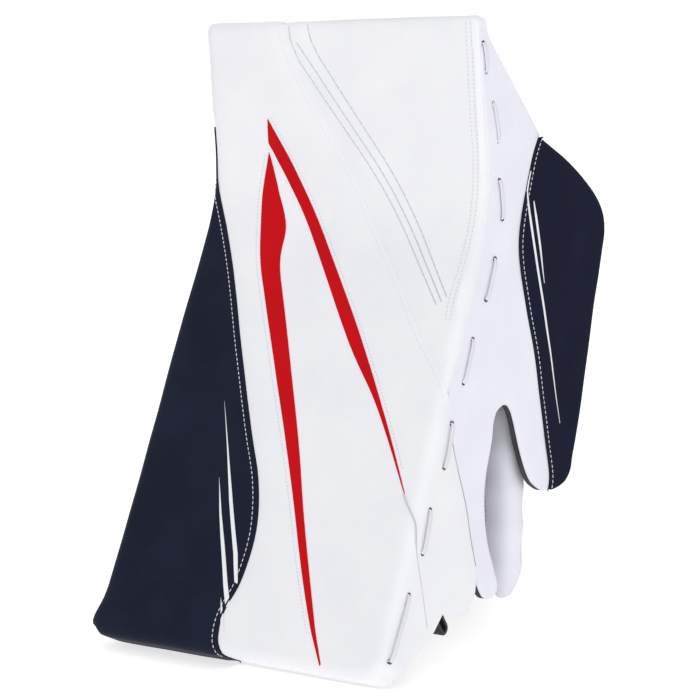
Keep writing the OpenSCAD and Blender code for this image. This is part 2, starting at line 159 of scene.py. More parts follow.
def linear(red: int, green: int, blue: int) -> tuple[float, float, float, float]:
    """A shader colour from the 0 to 255 values it should show."""
    shown = np.array([red, green, blue]) / 255
    made = np.where(shown <= 0.04045, shown / 12.92, ((shown + 0.055) / 1.055) ** 2.4)
    return (*map(float, made), 1.0)


class Value:
    """A number socket of a material. Arithmetic on it adds Math nodes."""

    def __init__(self, paint: "Paint", socket: bpy.types.NodeSocket) -> None:
        """Wraps a socket of a paint's tree."""
        self.paint = paint
        self.socket = socket

    def math(self, operation: str, *terms: Union[float, "Value"]) -> "Value":
        """A Math node's result.

        Args:
            operation: The node's operation.
            terms: Its inputs in order.

        Returns:
            The result as a value.
        """
        made = self.paint.node("ShaderNodeMath", dict(enumerate(terms)), operation=operation)
        return self.paint.value(made)

    def __add__(self, other: Union[float, "Value"]) -> "Value":
        """Sum."""
        return self.math("ADD", self, other)

    def __radd__(self, other: float) -> "Value":
        """Sum with a number first."""
        return self.math("ADD", other, self)

    def __sub__(self, other: Union[float, "Value"]) -> "Value":
        """Difference."""
        return self.math("SUBTRACT", self, other)

    def __rsub__(self, other: float) -> "Value":
        """Difference with a number first."""
        return self.math("SUBTRACT", other, self)

    def __mul__(self, other: Union[float, "Value"]) -> "Value":
        """Product."""
        return self.math("MULTIPLY", self, other)

    def __rmul__(self, other: float) -> "Value":
        """Product with a number first."""
        return self.math("MULTIPLY", other, self)

    def sine(self) -> "Value":
        """Sine of the value in radians."""
        return self.math("SINE", self)

    def size(self) -> "Value":
        """The value without its sign."""
        return self.math("ABSOLUTE", self)

    def ramp(self, low: float, high: float) -> "Value":
        """A smooth step from 0 at low to 1 at high."""
        inputs = {0: self, 1: low, 2: high}
        made = self.paint.node("ShaderNodeMapRange", inputs, interpolation_type="SMOOTHSTEP")
        return self.paint.value(made)


class Paint:
    """The node tree of a material or of the world."""

    def __init__(self, owner: Union[bpy.types.Material, bpy.types.World]) -> None:
        """Empties the tree of its owner."""
        owner.use_nodes = True
        self.owner = owner
        self.tree = owner.node_tree
        self.tree.nodes.clear()

    def node(self, kind: str, inputs: Mapping[Union[int, str], object], **settings: object) -> bpy.types.Node:
        """Adds one node.

        Args:
            kind: The node's type.
            inputs: Values or links, by the socket's name or number.
            settings: Properties, set before the inputs.

        Returns:
            The node.
        """
        made = self.tree.nodes.new(kind)
        for name, setting in settings.items():
            setattr(made, name, setting)
        for key, given in inputs.items():
            given = given.socket if isinstance(given, Value) else given
            if isinstance(given, bpy.types.NodeSocket):
                self.tree.links.new(given, made.inputs[key])
            else:
                made.inputs[key].default_value = given
        return made

    def value(self, node: bpy.types.Node, output: Union[int, str] = 0) -> Value:
        """One of a node's outputs as a value."""
        return Value(self, node.outputs[output])

    def place(self, output: str = "Object") -> bpy.types.NodeSocket:
        """The texture coordinate of that name."""
        return self.node("ShaderNodeTexCoord", {}).outputs[output]

    def noise(self, grain: float, detail: float = 3.0, roughness: float = 0.55) -> Value:
        """Noise whose lumps are grain millimetres across, from 0 to 1."""
        inputs = {"Vector": self.place(), "Scale": 1 / (grain * MM), "Detail": detail, "Roughness": roughness}
        return self.value(self.node("ShaderNodeTexNoise", inputs))

    def cells(self, grain: float) -> Value:
        """Distance to the middle of cells that are grain millimetres across."""
        inputs = {"Vector": self.place(), "Scale": 1 / (grain * MM)}
        return self.value(self.node("ShaderNodeTexVoronoi", inputs, feature="F1"))

    def axes(self, output: str = "UV") -> tuple[Value, Value, Value]:
        """The three parts of a texture coordinate."""
        split = self.node("ShaderNodeSeparateXYZ", {0: self.place(output)})
        return self.value(split, 0), self.value(split, 1), self.value(split, 2)

    def mix(self, share: Value, first: Sequence[float], second: Sequence[float]) -> bpy.types.NodeSocket:
        """A colour between two others."""
        return self.node("ShaderNodeMix", {0: share, 6: first, 7: second}, data_type="RGBA").outputs[2]

    def surface(self, constants: Mapping[str, object], height: Value, strength: float, depth: float) -> None:
        """Ends the material in a Principled shader over a bump.

        Args:
            constants: The shader's inputs.
            height: The bump's height, about 0 to 1.
            strength: The bump's strength.
            depth: The bump's depth in millimetres.
        """
        bump = self.node("ShaderNodeBump", {"Strength": strength, "Distance": depth * MM, "Height": height})
        shader = self.node("ShaderNodeBsdfPrincipled", {**constants, "Normal": bump.outputs[0]})
        self.node("ShaderNodeOutputMaterial", {0: shader.outputs[0]})


@dataclass(frozen=True)
class Leather:
    """Synthetic leather: a fine pebble grain, a soft cloudiness and rubbed high spots."""

    name: str
    colour: tuple[float, float, float, float]
    shade: tuple[float, float, float, float]
    pebble: float = 0.9
    roughness: float = 0.46
    depth: float = 0.12
    shine: float = 0.2

    def material(self) -> bpy.types.Material:
        """The finish as a material."""
        paint = Paint(bpy.data.materials.new(self.name))
        grain = paint.cells(self.pebble)
        pores = paint.noise(self.pebble * 0.35, 2)
        cloud = paint.noise(38, 4)
        rubbed = paint.noise(6, 5, 0.7).ramp(0.56, 0.78)
        colour = paint.mix(cloud.ramp(0.25, 0.75), self.shade, self.colour)
        rough = self.roughness + (cloud - 0.5) * 0.12 + rubbed * 0.08
        inputs = {"Base Color": colour, "Roughness": rough, "Specular IOR Level": self.shine}
        paint.surface(inputs, grain * 0.7 + pores * 0.5, 0.5, self.depth)
        return paint.owner


@dataclass(frozen=True)
class Weave:
    """Woven cloth, webbing or lace, with its threads along the piece's own map."""

    name: str
    colour: tuple[float, float, float, float]
    gap: tuple[float, float, float, float]
    pitch: float = 1.0
    roughness: float = 0.7
    depth: float = 0.25
    rib: float = 1.0

    def material(self) -> bpy.types.Material:
        """The finish as a material."""
        paint = Paint(bpy.data.materials.new(self.name))
        along, across, _ = paint.axes()
        turn = math.tau / (self.pitch * MM)
        warp = (along * turn).sine()
        weft = (across * (turn * self.rib)).sine()
        over = (warp * weft) * 0.5 + 0.5
        thread = (warp.size() + weft.size()) * 0.3 + over * 0.4
        fuzz = paint.noise(0.5, 3)
        worn = paint.noise(22, 4).ramp(0.35, 0.8)
        colour = paint.mix(thread.ramp(0.1, 0.75) * (0.8 + worn * 0.2), self.gap, self.colour)
        rough = self.roughness + (fuzz - 0.5) * 0.15
        paint.surface({"Base Color": colour, "Roughness": rough}, thread + fuzz * 0.35, 0.6, self.depth)
        return paint.owner


@dataclass(frozen=True)
class Napped:
    """Suede, knit lining, loop tape or foam: a matt surface with a short uneven nap."""

    name: str
    colour: tuple[float, float, float, float]
    shade: tuple[float, float, float, float]
    nap: float = 0.6
    roughness: float = 0.85
    depth: float = 0.3

    def material(self) -> bpy.types.Material:
        """The finish as a material."""
        paint = Paint(bpy.data.materials.new(self.name))
        fibres = paint.noise(self.nap, 4, 0.7)
        tufts = paint.cells(self.nap * 2.2)
        brushed = paint.noise(14, 4)
        colour = paint.mix((brushed * 0.7 + fibres * 0.5).ramp(0.3, 0.85), self.shade, self.colour)
        rough = self.roughness + (fibres - 0.5) * 0.1
        paint.surface({"Base Color": colour, "Roughness": rough}, fibres + tufts * 0.5, 0.6, self.depth)
        return paint.owner


@dataclass(frozen=True)
class Moulded:
    """Enamelled metal with a little polish and fine scratches."""

    name: str
    colour: tuple[float, float, float, float]
    roughness: float = 0.35
    metallic: float = 0.0
    depth: float = 0.05

    def material(self) -> bpy.types.Material:
        """The finish as a material."""
        paint = Paint(bpy.data.materials.new(self.name))
        scratch = paint.noise(0.8, 5, 0.75)
        rough = self.roughness + (scratch - 0.5) * 0.2
        darker = tuple(part * 0.8 for part in self.colour[:3]) + (1.0,)
        colour = paint.mix(scratch.ramp(0.4, 0.7), darker, self.colour)
        constants = {"Base Color": colour, "Roughness": rough, "Metallic": self.metallic}
        paint.surface(constants, scratch, 0.4, self.depth)
        return paint.owner


Finish = Union[Leather, Weave, Napped, Moulded]

WHITE_LEATHER = Leather("white_leather", linear(243, 243, 246), linear(238, 238, 242))
# A copy of the white leather tinted cooler and a touch darker for the thumb side's hide and the index finger:
# painted shade of surfaces turned away from the key light.
SHADED_SIDE_LEATHER = Leather("side_leather", linear(240, 239, 247), linear(234, 233, 243))
NAVY_LEATHER = Leather("navy_leather", linear(28, 33, 51), linear(22, 27, 43), roughness=0.52, shine=0.06)
# A darker copy of the navy leather for the thumb flap: painted shade that offsets the reflection the flap
# catches at its angle to the camera.
SHADED_FLAP_LEATHER = Leather("flap_leather_painted_shade", linear(18, 22, 46), linear(13, 17, 38), roughness=0.56, shine=0.03)
RED_LEATHER = Leather("red_leather", linear(205, 0, 16), linear(192, 0, 14), roughness=0.5, shine=0.1)
CHARCOAL_LEATHER = Leather("charcoal_leather", linear(44, 44, 49), linear(34, 34, 38), pebble=1.2)
# A thread greyed down from white for the lines and stitch rows on the white face: the thread's own colour with
# the shade of its creases painted in.
SHADED_PALE_THREAD = Weave("pale_shaded_thread", linear(205, 205, 213), linear(182, 182, 190), 0.6, depth=0.1)
# Grey thread for the stitches on the dark leathers; the same grey also colours the cord that is the painted
# shadow under the lower panel's edge.
GREY_THREAD_AND_SHADOW_LINE = Weave("grey_thread_and_shadow_line", linear(176, 176, 184), linear(140, 140, 148), 0.6, depth=0.1)
WHITE_THREAD = Weave("white_thread", linear(240, 240, 242), linear(214, 214, 218), 0.6, depth=0.1)
LACE = Weave("lace_weave", linear(242, 242, 245), linear(214, 214, 222), 0.9, 0.75, 0.3, 1.6)
WEBBING = Weave("black_webbing", linear(22, 21, 32), linear(10, 10, 18), 1.5, 0.62, 0.35, 0.6)
NYLON = Weave("back_nylon", linear(46, 47, 53), linear(26, 26, 30), 0.9, 0.6, 0.18)
KNIT = Napped("knit_lining", linear(74, 74, 80), linear(48, 48, 54), 0.7)
SUEDE = Napped("palm_suede", linear(62, 62, 68), linear(42, 42, 47), 0.5)
PALM_PATCH = Napped("patch_suede", linear(92, 93, 99), linear(70, 70, 76), 0.5)
LOOP_TAPE = Napped("loop_tape", linear(58, 58, 64), linear(32, 32, 36), 0.9, 0.92, 0.5)
FOAM = Napped("closed_foam", linear(120, 121, 124), linear(98, 98, 102), 1.1)
# Dark enamel of the eyelet rims, also worn by the caps in the holes, which are painted shade.
ENAMEL_AND_HOLE_SHADE = Moulded("dark_enamel_and_hole_shade", linear(58, 58, 64), 0.4, 0.6)


@lru_cache(maxsize=None)
def finish_of(finish: Finish) -> bpy.types.Material:
    """The material of a finish, made the first time it is asked for."""
    return finish.material()


# ---- Lines ----


def curve_through(points: Flat, steps: int = 6) -> Array:
    """A smooth line through points, with that many steps between two of them."""
    given = np.asarray(points, float)
    before = np.vstack([given[:1], given[:-2], given[-2:-1]])[: len(given) - 1]
    after = np.vstack([given[2:], given[-1:]])
    made = []
    for a, b, c, d in zip(before, given[:-1], given[1:], after):
        for t in np.arange(steps) / steps:
            turn = (2 * a - 5 * b + 4 * c - d) * t * t + (3 * b - a - 3 * c + d) * t**3
            made.append(0.5 * (2 * b + (c - a) * t + turn))
    return np.vstack([*made, given[-1]])


def spaced(line: Array, step: float) -> Array:
    """The line's points at an even distance, close to step."""
    lengths = np.linalg.norm(np.diff(line, axis=0), axis=1)
    reach = np.concatenate([[0], np.cumsum(lengths)])
    count = max(2, int(round(reach[-1] / step)) + 1)
    at = np.linspace(0, reach[-1], count)
    return np.column_stack([np.interp(at, reach, line[:, axis]) for axis in range(line.shape[1])])


def closed(line: Array) -> Array:
    """The line with its first place again at its end."""
    return np.vstack([line, line[:1]])


def distance_to(places: Array, line: Array) -> Array:
    """How far each flat place is from a line of flat points."""
    nearest = np.full(len(places), 1e9)
    for a, b in zip(line[:-1], line[1:]):
        leg = b - a
        share = np.clip((places - a) @ leg / max(leg @ leg, 1e-12), 0, 1)
        nearest = np.minimum(nearest, np.linalg.norm(places - a - share[:, None] * leg, axis=1))
    return nearest


def ridge(places: Array, line: Flat, height: float, width: float) -> Array:
    """A rounded ridge along a line, or a groove where its height is below zero."""
    return height * np.exp(-((distance_to(places, np.asarray(line, float)) / width) ** 2))


def unit(vectors: Array) -> Array:
    """The vectors at a length of one."""
    return vectors / np.maximum(np.linalg.norm(vectors, axis=-1, keepdims=True), 1e-12)


def swell(places: Array, seed: float, size: float) -> Array:
    """Slow waves over flat places, from -1 to 1, that stand for the give of padded leather."""
    u, v = (places / size).T[:2]
    waves = np.sin(u * 1.7 + 1.3 * np.sin(v * 1.1 + seed)) + np.sin(v * 1.9 + 1.1 * np.sin(u * 0.9 - seed))
    return waves / 2


# ---- Modelling tools ----


class Bench:
    """Blender's own modelling tools, used on one piece at a time."""

    @staticmethod
    def clear() -> None:
        """Leaves edit mode with nothing selected."""
        if bpy.context.mode != "OBJECT":
            bpy.ops.object.mode_set(mode="OBJECT")
        bpy.ops.object.select_all(action="DESELECT")

    @staticmethod
    def take(*pieces: Obj) -> Obj:
        """Selects these pieces alone, and makes the first the active one."""
        Bench.clear()
        for piece in pieces:
            piece.select_set(True)
        bpy.context.view_layer.objects.active = pieces[0]
        return pieces[0]

    @staticmethod
    def named(name: str) -> Obj:
        """Names the primitive that was just added."""
        piece = bpy.context.object
        piece.name = piece.data.name = name
        return piece

    @staticmethod
    def points(piece: Obj) -> Array:
        """The places of the piece's vertices."""
        flat = np.empty(len(piece.data.vertices) * 3)
        piece.data.vertices.foreach_get("co", flat)
        return flat.reshape(-1, 3)

    @staticmethod
    def move(piece: Obj, places: Array) -> Obj:
        """Moves each vertex of the piece to its place."""
        piece.data.vertices.foreach_set("co", np.asarray(places, np.float32).ravel())
        piece.data.update()
        return piece

    @staticmethod
    def map_flat(piece: Obj, flat: Array) -> None:
        """Gives the piece a map in metres from flat places in millimetres, one for each vertex."""
        layer = piece.data.uv_layers.active or piece.data.uv_layers.new(name="UVMap")
        corners = np.empty(len(piece.data.loops), np.int32)
        piece.data.loops.foreach_get("vertex_index", corners)
        layer.data.foreach_set("uv", (flat[corners] * MM).astype(np.float32).ravel())

    @staticmethod
    def edit(piece: Obj, *steps: Callable[[], object]) -> Obj:
        """Runs edit-mode steps, each on the whole of the piece."""
        Bench.take(piece)
        bpy.ops.object.mode_set(mode="EDIT")
        bpy.ops.mesh.select_mode(type="VERT")
        for step in steps:
            bpy.ops.mesh.select_all(action="SELECT")
            step()
        bpy.ops.object.mode_set(mode="OBJECT")
        return piece

    @staticmethod
    def grid(name: str, across: int, down: int) -> tuple[Obj, Array]:
        """A grid of cells.

        Args:
            name: The piece's name.
            across: Cells one way.
            down: Cells the other way.

        Returns:
            The piece, and each vertex's share of the way across and down.
        """
        Bench.clear()
        bpy.ops.mesh.primitive_grid_add(x_subdivisions=across, y_subdivisions=down, size=1)
        piece = Bench.named(name)
        return piece, Bench.points(piece)[:, :2] + 0.5

    @staticmethod
    def panel(name: str, outline: Array, cell: float, rims: Sequence[float] = ()) -> Obj:
        """A flat panel cut to an outline, with rims inside its edge and cells all over.

        Args:
            name: The piece's name.
            outline: Its corners, in millimetres.
            cell: Size of the cells.
            rims: Widths of the strips that run along its edge.

        Returns:
            The piece, facing up.
        """
        Bench.clear()
        bpy.ops.mesh.primitive_circle_add(vertices=len(outline), radius=1, fill_type="NGON")
        piece = Bench.named(name)
        Bench.move(piece, np.column_stack([outline, np.zeros(len(outline))]))
        if piece.data.polygons[0].normal.z < 0:
            Bench.edit(piece, bpy.ops.mesh.flip_normals)
        steps: list[Callable[[], object]] = []
        for axis in range(2):
            low, high = outline[:, axis].min(), outline[:, axis].max()
            count = max(1, int(math.ceil((high - low) / cell)))
            toward = [float(axis == 0), float(axis == 1), 0.0]
            for k in range(1, count):
                at = [part * (low + (high - low) * k / count) for part in toward]
                steps.append(lambda at=at, toward=toward: bpy.ops.mesh.bisect(plane_co=at, plane_no=toward))
        Bench.take(piece)
        bpy.ops.object.mode_set(mode="EDIT")
        bpy.ops.mesh.select_all(action="SELECT")
        for rim in rims:
            bpy.ops.mesh.inset(thickness=rim, depth=0)
        return Bench.edit(piece, *steps)

    @staticmethod
    def apply(piece: Obj, kind: str, **settings: object) -> Obj:
        """Adds a modifier with these settings and applies it."""
        Bench.take(piece)
        modifier = piece.modifiers.new(kind.title(), kind)
        for name, setting in settings.items():
            setattr(modifier, name, setting)
        bpy.ops.object.modifier_apply(modifier=modifier.name)
        return piece

    @staticmethod
    def thicken(piece: Obj, thickness: float) -> Obj:
        """Gives a sheet its thickness in millimetres, behind its face."""
        return Bench.apply(piece, "SOLIDIFY", thickness=thickness * MM, offset=-1.0)

    @staticmethod
    def smooth(piece: Obj, angle: float = 40.0) -> Obj:
        """Shades the piece smooth, apart from edges sharper than the angle in degrees."""
        Bench.take(piece)
        bpy.ops.object.shade_smooth_by_angle(angle=math.radians(angle))
        return piece

    @staticmethod
    def weld(piece: Obj, gap: float = 0.01) -> Obj:
        """Merges vertices closer than gap millimetres, closes holes and turns every face outwards."""
        return Bench.edit(
            piece,
            lambda: bpy.ops.mesh.remove_doubles(threshold=gap * MM),
            lambda: bpy.ops.mesh.fill_holes(sides=0),
            lambda: bpy.ops.mesh.normals_make_consistent(inside=False),
        )

    @staticmethod
    def sweep(name: str, path: Array, ups: Array, section: Array, ring: bool = False,
              fatness: Optional[Array] = None) -> Obj:
        """A band or tube along a path.

        Args:
            name: The piece's name.
            path: Places along it, in metres.
            ups: The way its upper side faces at each of them.
            section: A closed loop of (side, up) places in millimetres.
            ring: Whether the path closes on itself.
            fatness: A factor on the section at each place.

        Returns:
            The closed piece.
        """
        loop = closed(path) if ring else path
        lifts = closed(ups) if ring else ups
        ahead = unit(np.gradient(loop, axis=0))
        if ring:
            ahead[0] = ahead[-1] = unit(loop[1] - loop[-2])
        sides = unit(np.cross(ahead, lifts))
        lifts = np.cross(sides, ahead)
        count, turns = len(loop), len(section)
        piece, share = Bench.grid(name, count - 1, turns)
        i = np.rint(share[:, 0] * (count - 1)).astype(int)
        j = np.rint(share[:, 1] * turns).astype(int)
        size = np.ones(count) if fatness is None else fatness
        side, up = (section[j % turns] * size[i, None] * MM).T
        Bench.move(piece, loop[i] + side[:, None] * sides[i] + up[:, None] * lifts[i])
        reach = np.concatenate([[0], np.cumsum(np.linalg.norm(np.diff(loop, axis=0), axis=1))]) / MM
        girth = np.concatenate([[0], np.cumsum(np.linalg.norm(np.diff(section, axis=0), axis=1))])
        girth = np.append(girth, girth[-1] + np.linalg.norm(section[0] - section[-1]))
        Bench.map_flat(piece, np.column_stack([reach[i], girth[j]]))
        return Bench.smooth(Bench.weld(piece), 50)

    @staticmethod
    def join(name: str, pieces: Sequence[Obj]) -> Obj:
        """Joins pieces into one."""
        joined = Bench.take(*pieces)
        if len(pieces) > 1:
            bpy.ops.object.join()
        joined.name = joined.data.name = name
        return joined


def round_section(width: float, height: float, sides: int = 8) -> Array:
    """An oval section of that width and height in millimetres."""
    turn = np.arange(sides) * math.tau / sides
    return np.column_stack([np.cos(turn) * width / 2, np.sin(turn) * height / 2])


def flat_section(width: float, height: float, corner: float = 0.5) -> Array:
    """A band's section with rounded corners, its underside at zero height."""
    half, top = width / 2, height
    return np.array([
        (half, 0), (half, top - corner), (half - corner * 0.3, top - corner * 0.3), (half - corner, top),
        (half * 0.5, top), (0, top), (-half * 0.5, top),
        (corner - half, top), (corner * 0.3 - half, top - corner * 0.3), (-half, top - corner), (-half, 0)])


@dataclass(frozen=True)
class Stitching:
    """A row of stitches: their length, the gap between them and the thread's thickness, in millimetres."""

    length: float = 2.3
    gap: float = 1.1
    thread: float = 0.55

    def row(self, name: str, path: Array, ups: Array) -> Obj:
        """Sews a row of stitches along a path.

        Args:
            name: The piece's name.
            path: Places along it, in metres.
            ups: The way the surface faces at each of them.

        Returns:
            One piece with every stitch.
        """
        pitch = self.length + self.gap
        both = spaced(np.hstack([path / MM, ups * 1e-6]), pitch)
        places, lifts = both[:, :3] * MM, unit(both[:, 3:])
        ahead = unit(np.gradient(places, axis=0))
        Bench.clear()
        bpy.ops.mesh.primitive_uv_sphere_add(segments=6, ring_count=4, radius=0.5)
        seed = Bench.named(name)
        seed.data.transform(Matrix.Rotation(math.pi / 2, 4, "Y"))
        seed.data.transform(Matrix.Diagonal((self.length * MM, self.thread * MM, self.thread * MM, 1)))
        made = []
        for place, along, lift in zip(places[:-1] + np.diff(places, axis=0) / 2, ahead, lifts):
            side = np.cross(lift, along)
            turn = Matrix([(*pair, 0) for pair in zip(along, side, lift)] + [(0, 0, 0, 1)])
            copy = seed.copy()
            copy.data = seed.data.copy()
            copy.data.transform(Matrix.Translation(place) @ turn)
            bpy.context.scene.collection.objects.link(copy)
            made.append(copy)
        bpy.data.objects.remove(seed)
        return Bench.smooth(Bench.join(name, made), 60)


THIN_STITCH = Stitching(1.6, 0.8, 0.3)
FINE_STITCH = Stitching(1.9, 1.0, 0.4)
SEAM_STITCH = Stitching(2.4, 0.7, 0.6)
BOLD_STITCH = Stitching(2.6, 1.2, 0.75)


def deliver(piece: Obj, finish: Finish, slot: Slot, *nodes: str, on: Union[Body, str] = Body.SHELL,
            to: Optional[str] = None, bend: Optional[tuple[Vector, Vector]] = None) -> Obj:
    """Paints a finished piece, and sets it on its body unless to is given.

    Args:
        piece: The piece, in place.
        finish: Its finish.
        slot: The record's material slot; not used.
        nodes: The CAD nodes that it replaces.
        on: The body it rides on when to is not given.
        to: When given, the piece is not set on a body; its place is baked into its mesh.
        bend: Where the bend starts and ends, in the row frame; not used.

    Returns:
        The piece.
    """
    piece.data.materials.clear()
    piece.data.materials.append(finish_of(finish))
    first = on.value if isinstance(on, Body) else on
    if to is None:
        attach(piece, first)
    else:
        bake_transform(piece)
    if nodes:
        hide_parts(*nodes)
    stands_for = ", ".join(nodes) or "nothing"
    LOG.info("%s: %d faces, on %s, standing for %s", piece.name, len(piece.data.polygons), first, stands_for)
    return piece


# ---- Camera and sight lines ----


@dataclass(frozen=True)
class PhotoCamera:
    """The photograph's camera: where it stands round its pivot and what it is aimed at, in the row frame."""

    pivot: Vector
    azimuth: float = 35.48
    elevation: float = 10.61
    roll: float = -3.49
    distance: float = 1.2821
    lens: float = 110.18
    sensor: float = 36.0
    aim_right: float = -0.00277
    aim_up: float = -0.00483

    def make(self) -> Obj:
        """Adds the camera to the scene and returns it."""
        turn, rise, tilt = (math.radians(a) for a in (self.azimuth, self.elevation, self.roll))
        back = Vector((math.sin(turn) * math.cos(rise), -math.cos(turn) * math.cos(rise), math.sin(rise)))
        level = Vector((math.cos(turn), math.sin(turn), 0))
        upright = back.cross(level)
        right = level * math.cos(tilt) + upright * math.sin(tilt)
        up = back.cross(right)
        place = self.pivot + back * self.distance
        aim = self.pivot + right * self.aim_right + up * self.aim_up
        axis = (place - aim).normalized()
        right = up.cross(axis).normalized()
        data = bpy.data.cameras.new("photo_camera")
        data.lens, data.sensor_width, data.sensor_fit = self.lens, self.sensor, "AUTO"
        camera = bpy.data.objects.new("photo_camera", data)
        bpy.context.scene.collection.objects.link(camera)
        turned = Matrix((right, axis.cross(right), axis)).transposed().to_4x4()
        camera.matrix_world = Matrix.Translation(place) @ turned
        bpy.context.scene.camera = camera
        return camera


class Sight:
    """Sight lines of the camera through the photograph's points."""

    def __init__(self, camera: Obj) -> None:
        """Keeps the camera and its longer image side."""
        self.camera = camera
        self.long_side = max(IMAGE_W, IMAGE_H)

    def line(self, name: str) -> tuple[Vector, Vector]:
        """The start and way of the sight line through a named image point."""
        x, y = IMAGE_POINTS[name]
        data = self.camera.data
        way = Vector((x - IMAGE_W / 2 + data.shift_x * self.long_side,
                      IMAGE_H / 2 - y + data.shift_y * self.long_side,
                      -self.long_side * data.lens / data.sensor_width))
        return self.camera.matrix_world.translation, (self.camera.matrix_world.to_3x3() @ way).normalized()

    def meet(self, name: str, *carriers: Obj) -> Vector:
        """Where a named image point lies on the pieces that carry it.

        Args:
            name: The image point.
            carriers: Finished and placed pieces.

        Returns:
            The place met, or on a miss the place nearest the sight line.
        """
        start, way = self.line(name)
        best: tuple[float, Vector] = (1e9, start)
        for carrier in carriers:
            tree = BVHTree.FromObject(carrier, bpy.context.evaluated_depsgraph_get())
            met, _, _, far = tree.ray_cast(start, way)
            if met is not None and far - 1e3 < best[0]:
                best = (far - 1e3, met)
            elif met is None:
                for step in np.linspace(0.6, 1.6, 400):
                    near, _, _, gap = tree.find_nearest(start + way * float(step))
                    if gap < best[0]:
                        best = (gap, near)
        return best[1]

    def shown(self, places: Array) -> Array:
        """The image places of points in the row frame."""
        data = self.camera.data
        pose = self.camera.matrix_world
        local = (places - np.array(pose.translation)) @ np.array(pose.to_3x3())
        scale = self.long_side * data.lens / data.sensor_width / -local[:, 2]
        return np.column_stack([IMAGE_W / 2 - data.shift_x * self.long_side + local[:, 0] * scale,
                                IMAGE_H / 2 + data.shift_y * self.long_side - local[:, 1] * scale])


# ---- The board's form ----


@dataclass
class BoardForm:
    """The bent board, which everything else is measured from. Sizes in millimetres, angles in radians."""

    length: float = 381.0
    width: float = 203.0
    taper: float = 0.05
    thickness: float = 22.0
    edge: float = 5.0
    thinning: float = 11.0
    bend_start: float = 75.0
    bend_length: float = 55.0
    bend_angle: float = math.radians(30)
    foot_tuck: float = 2.0
    foot_soft: float = 26.0
    foot_corners: tuple[float, float] = (7.0, 13.0)
    flare: float = 5.0
    flare_at: float = 372.0
    flare_reach: float = 12.0
    foam_front: float = 1.2
    foam_depth: float = 17.8
    head: Array = field(init=False)

    def __post_init__(self) -> None:
        """Finds the board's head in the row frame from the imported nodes."""
        cover_low, cover_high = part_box("face_cover")
        back_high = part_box("back_cover")[1]
        middle = (cover_low.x + cover_high.x) / 2
        self.head = np.array([middle, back_high.y - self.thickness * MM, cover_high.z])
        self.bend_radius = self.bend_length / self.bend_angle
        self.wall_slope = self.width * self.taper / 2 / self.length
        self.roll = self.edge * math.pi / 2

    def row(self, places: Array) -> Array:
        """Places in the board's millimetres as places in the row frame."""
        return np.asarray(places, float) * MM + self.head

    def half_width(self, s: Array) -> Array:
        """Half the board's width, s down its face."""
        return self.width / 2 * (1 - self.taper * (1 - np.asarray(s) / self.length))

    def along(self, s: Array, d: Array) -> tuple[Array, Array]:
        """The y and z of the place s down the face and d behind it. The foam thins to the head."""
        s, d = np.asarray(s, float), np.asarray(d, float)
        inside = np.clip((d - self.foam_front) / self.foam_depth, 0, 1)
        d = d - self.thinning * np.clip(1 - s / self.bend_start, 0, 1.05) * inside
        turn = self.bend_angle * np.clip((s - self.bend_start) / self.bend_length, 0, 1)
        rest = np.maximum(0, s - self.bend_start - self.bend_length)
        out = self.bend_radius + d
        y = -self.bend_radius + out * np.cos(turn) - rest * np.sin(turn)
        z = -np.minimum(s, self.bend_start) - out * np.sin(turn) - rest * np.cos(turn)
        return y, z

    def shape_foot(self, x: Array, s: Array) -> tuple[Array, Array]:
        """Draws the foot in, rounds its corners in plan, and flares it on the little-finger side.

        Args:
            x: Places across.
            s: Places down the face.

        Returns:
            The same places, shaped.
        """
        x, s = np.array(x, float), np.array(s, float)
        share = np.clip((s - self.length) / self.foot_soft + 1, 0, 1)
        s -= self.foot_tuck * share**2 * (3 - 2 * share)
        side = self.half_width(s)
        for sign, radius in zip((-1, 1), self.foot_corners):
            p = np.clip((sign * x - side) / radius + 1, 0, None)
            q = np.clip((s - self.length + self.foot_tuck) / radius + 1, 0, None)
            drawn = np.maximum(p, q) / np.maximum(np.hypot(p, q), 1e-9) - 1
            inside = (p > 0) & (q > 0)
            x += np.where(inside, sign * radius * p * drawn, 0)
            s += np.where(inside, radius * q * drawn, 0)
        share = np.exp(-(((s - self.flare_at) / self.flare_reach) ** 2))
        x -= self.flare * share * np.clip(-x / side, 0, 1) ** 6
        return x, s

    def side_x(self, z: Array) -> Array:
        """The x of the side wall's face at height z."""
        return self.half_width(0) - np.asarray(z) * self.wall_slope

    def wrap(self, u: Array, v: Array, lift: Union[float, Array] = 0.0) -> Array:
        """Places on the board's skin, whose flat pattern lies u across and v down and wraps its edges.

        Args:
            u: Places across from the middle.
            v: Places down from the head.
            lift: Height over the skin.

        Returns:
            The places in the row frame.
        """
        u, v = np.asarray(u, float), np.asarray(v, float)
        s = np.clip(v, self.edge, self.length - self.edge)
        core = self.half_width(s) - self.edge
        over_u = np.maximum(np.abs(u) - core, 0)
        over_v = np.abs(v - s)
        reach = np.maximum(over_u, over_v)
        share = math.pi / 4 * np.minimum(over_u, over_v) / np.maximum(reach, 1e-9)
        wide = over_u >= over_v
        part_u = np.where(wide, np.cos(share), np.sin(share))
        part_v = np.where(wide, np.sin(share), np.cos(share))
        roll = np.minimum(reach / self.edge, math.pi / 2)
        out = (self.edge + lift) * np.sin(roll)
        depth = self.edge - (self.edge + lift) * np.cos(roll) + np.maximum(0, reach - self.roll)
        down = s + np.sign(v - s) * part_v * out
        z = self.along(down, depth)[1]
        fit = (self.side_x(z) - self.half_width(s)) * np.sin(roll) * (over_u > 0) * part_u
        x, down = self.shape_foot(np.clip(u, -core, core) + np.sign(u) * (part_u * out + fit), down)
        return self.row(np.column_stack([x, *self.along(down, depth)]))

    def side_u(self, s: float, d: float) -> float:
        """The pattern's u on the thumb side for a place d deep in the board's side."""
        return float(self.half_width(s)) - self.edge + self.roll + d - self.edge

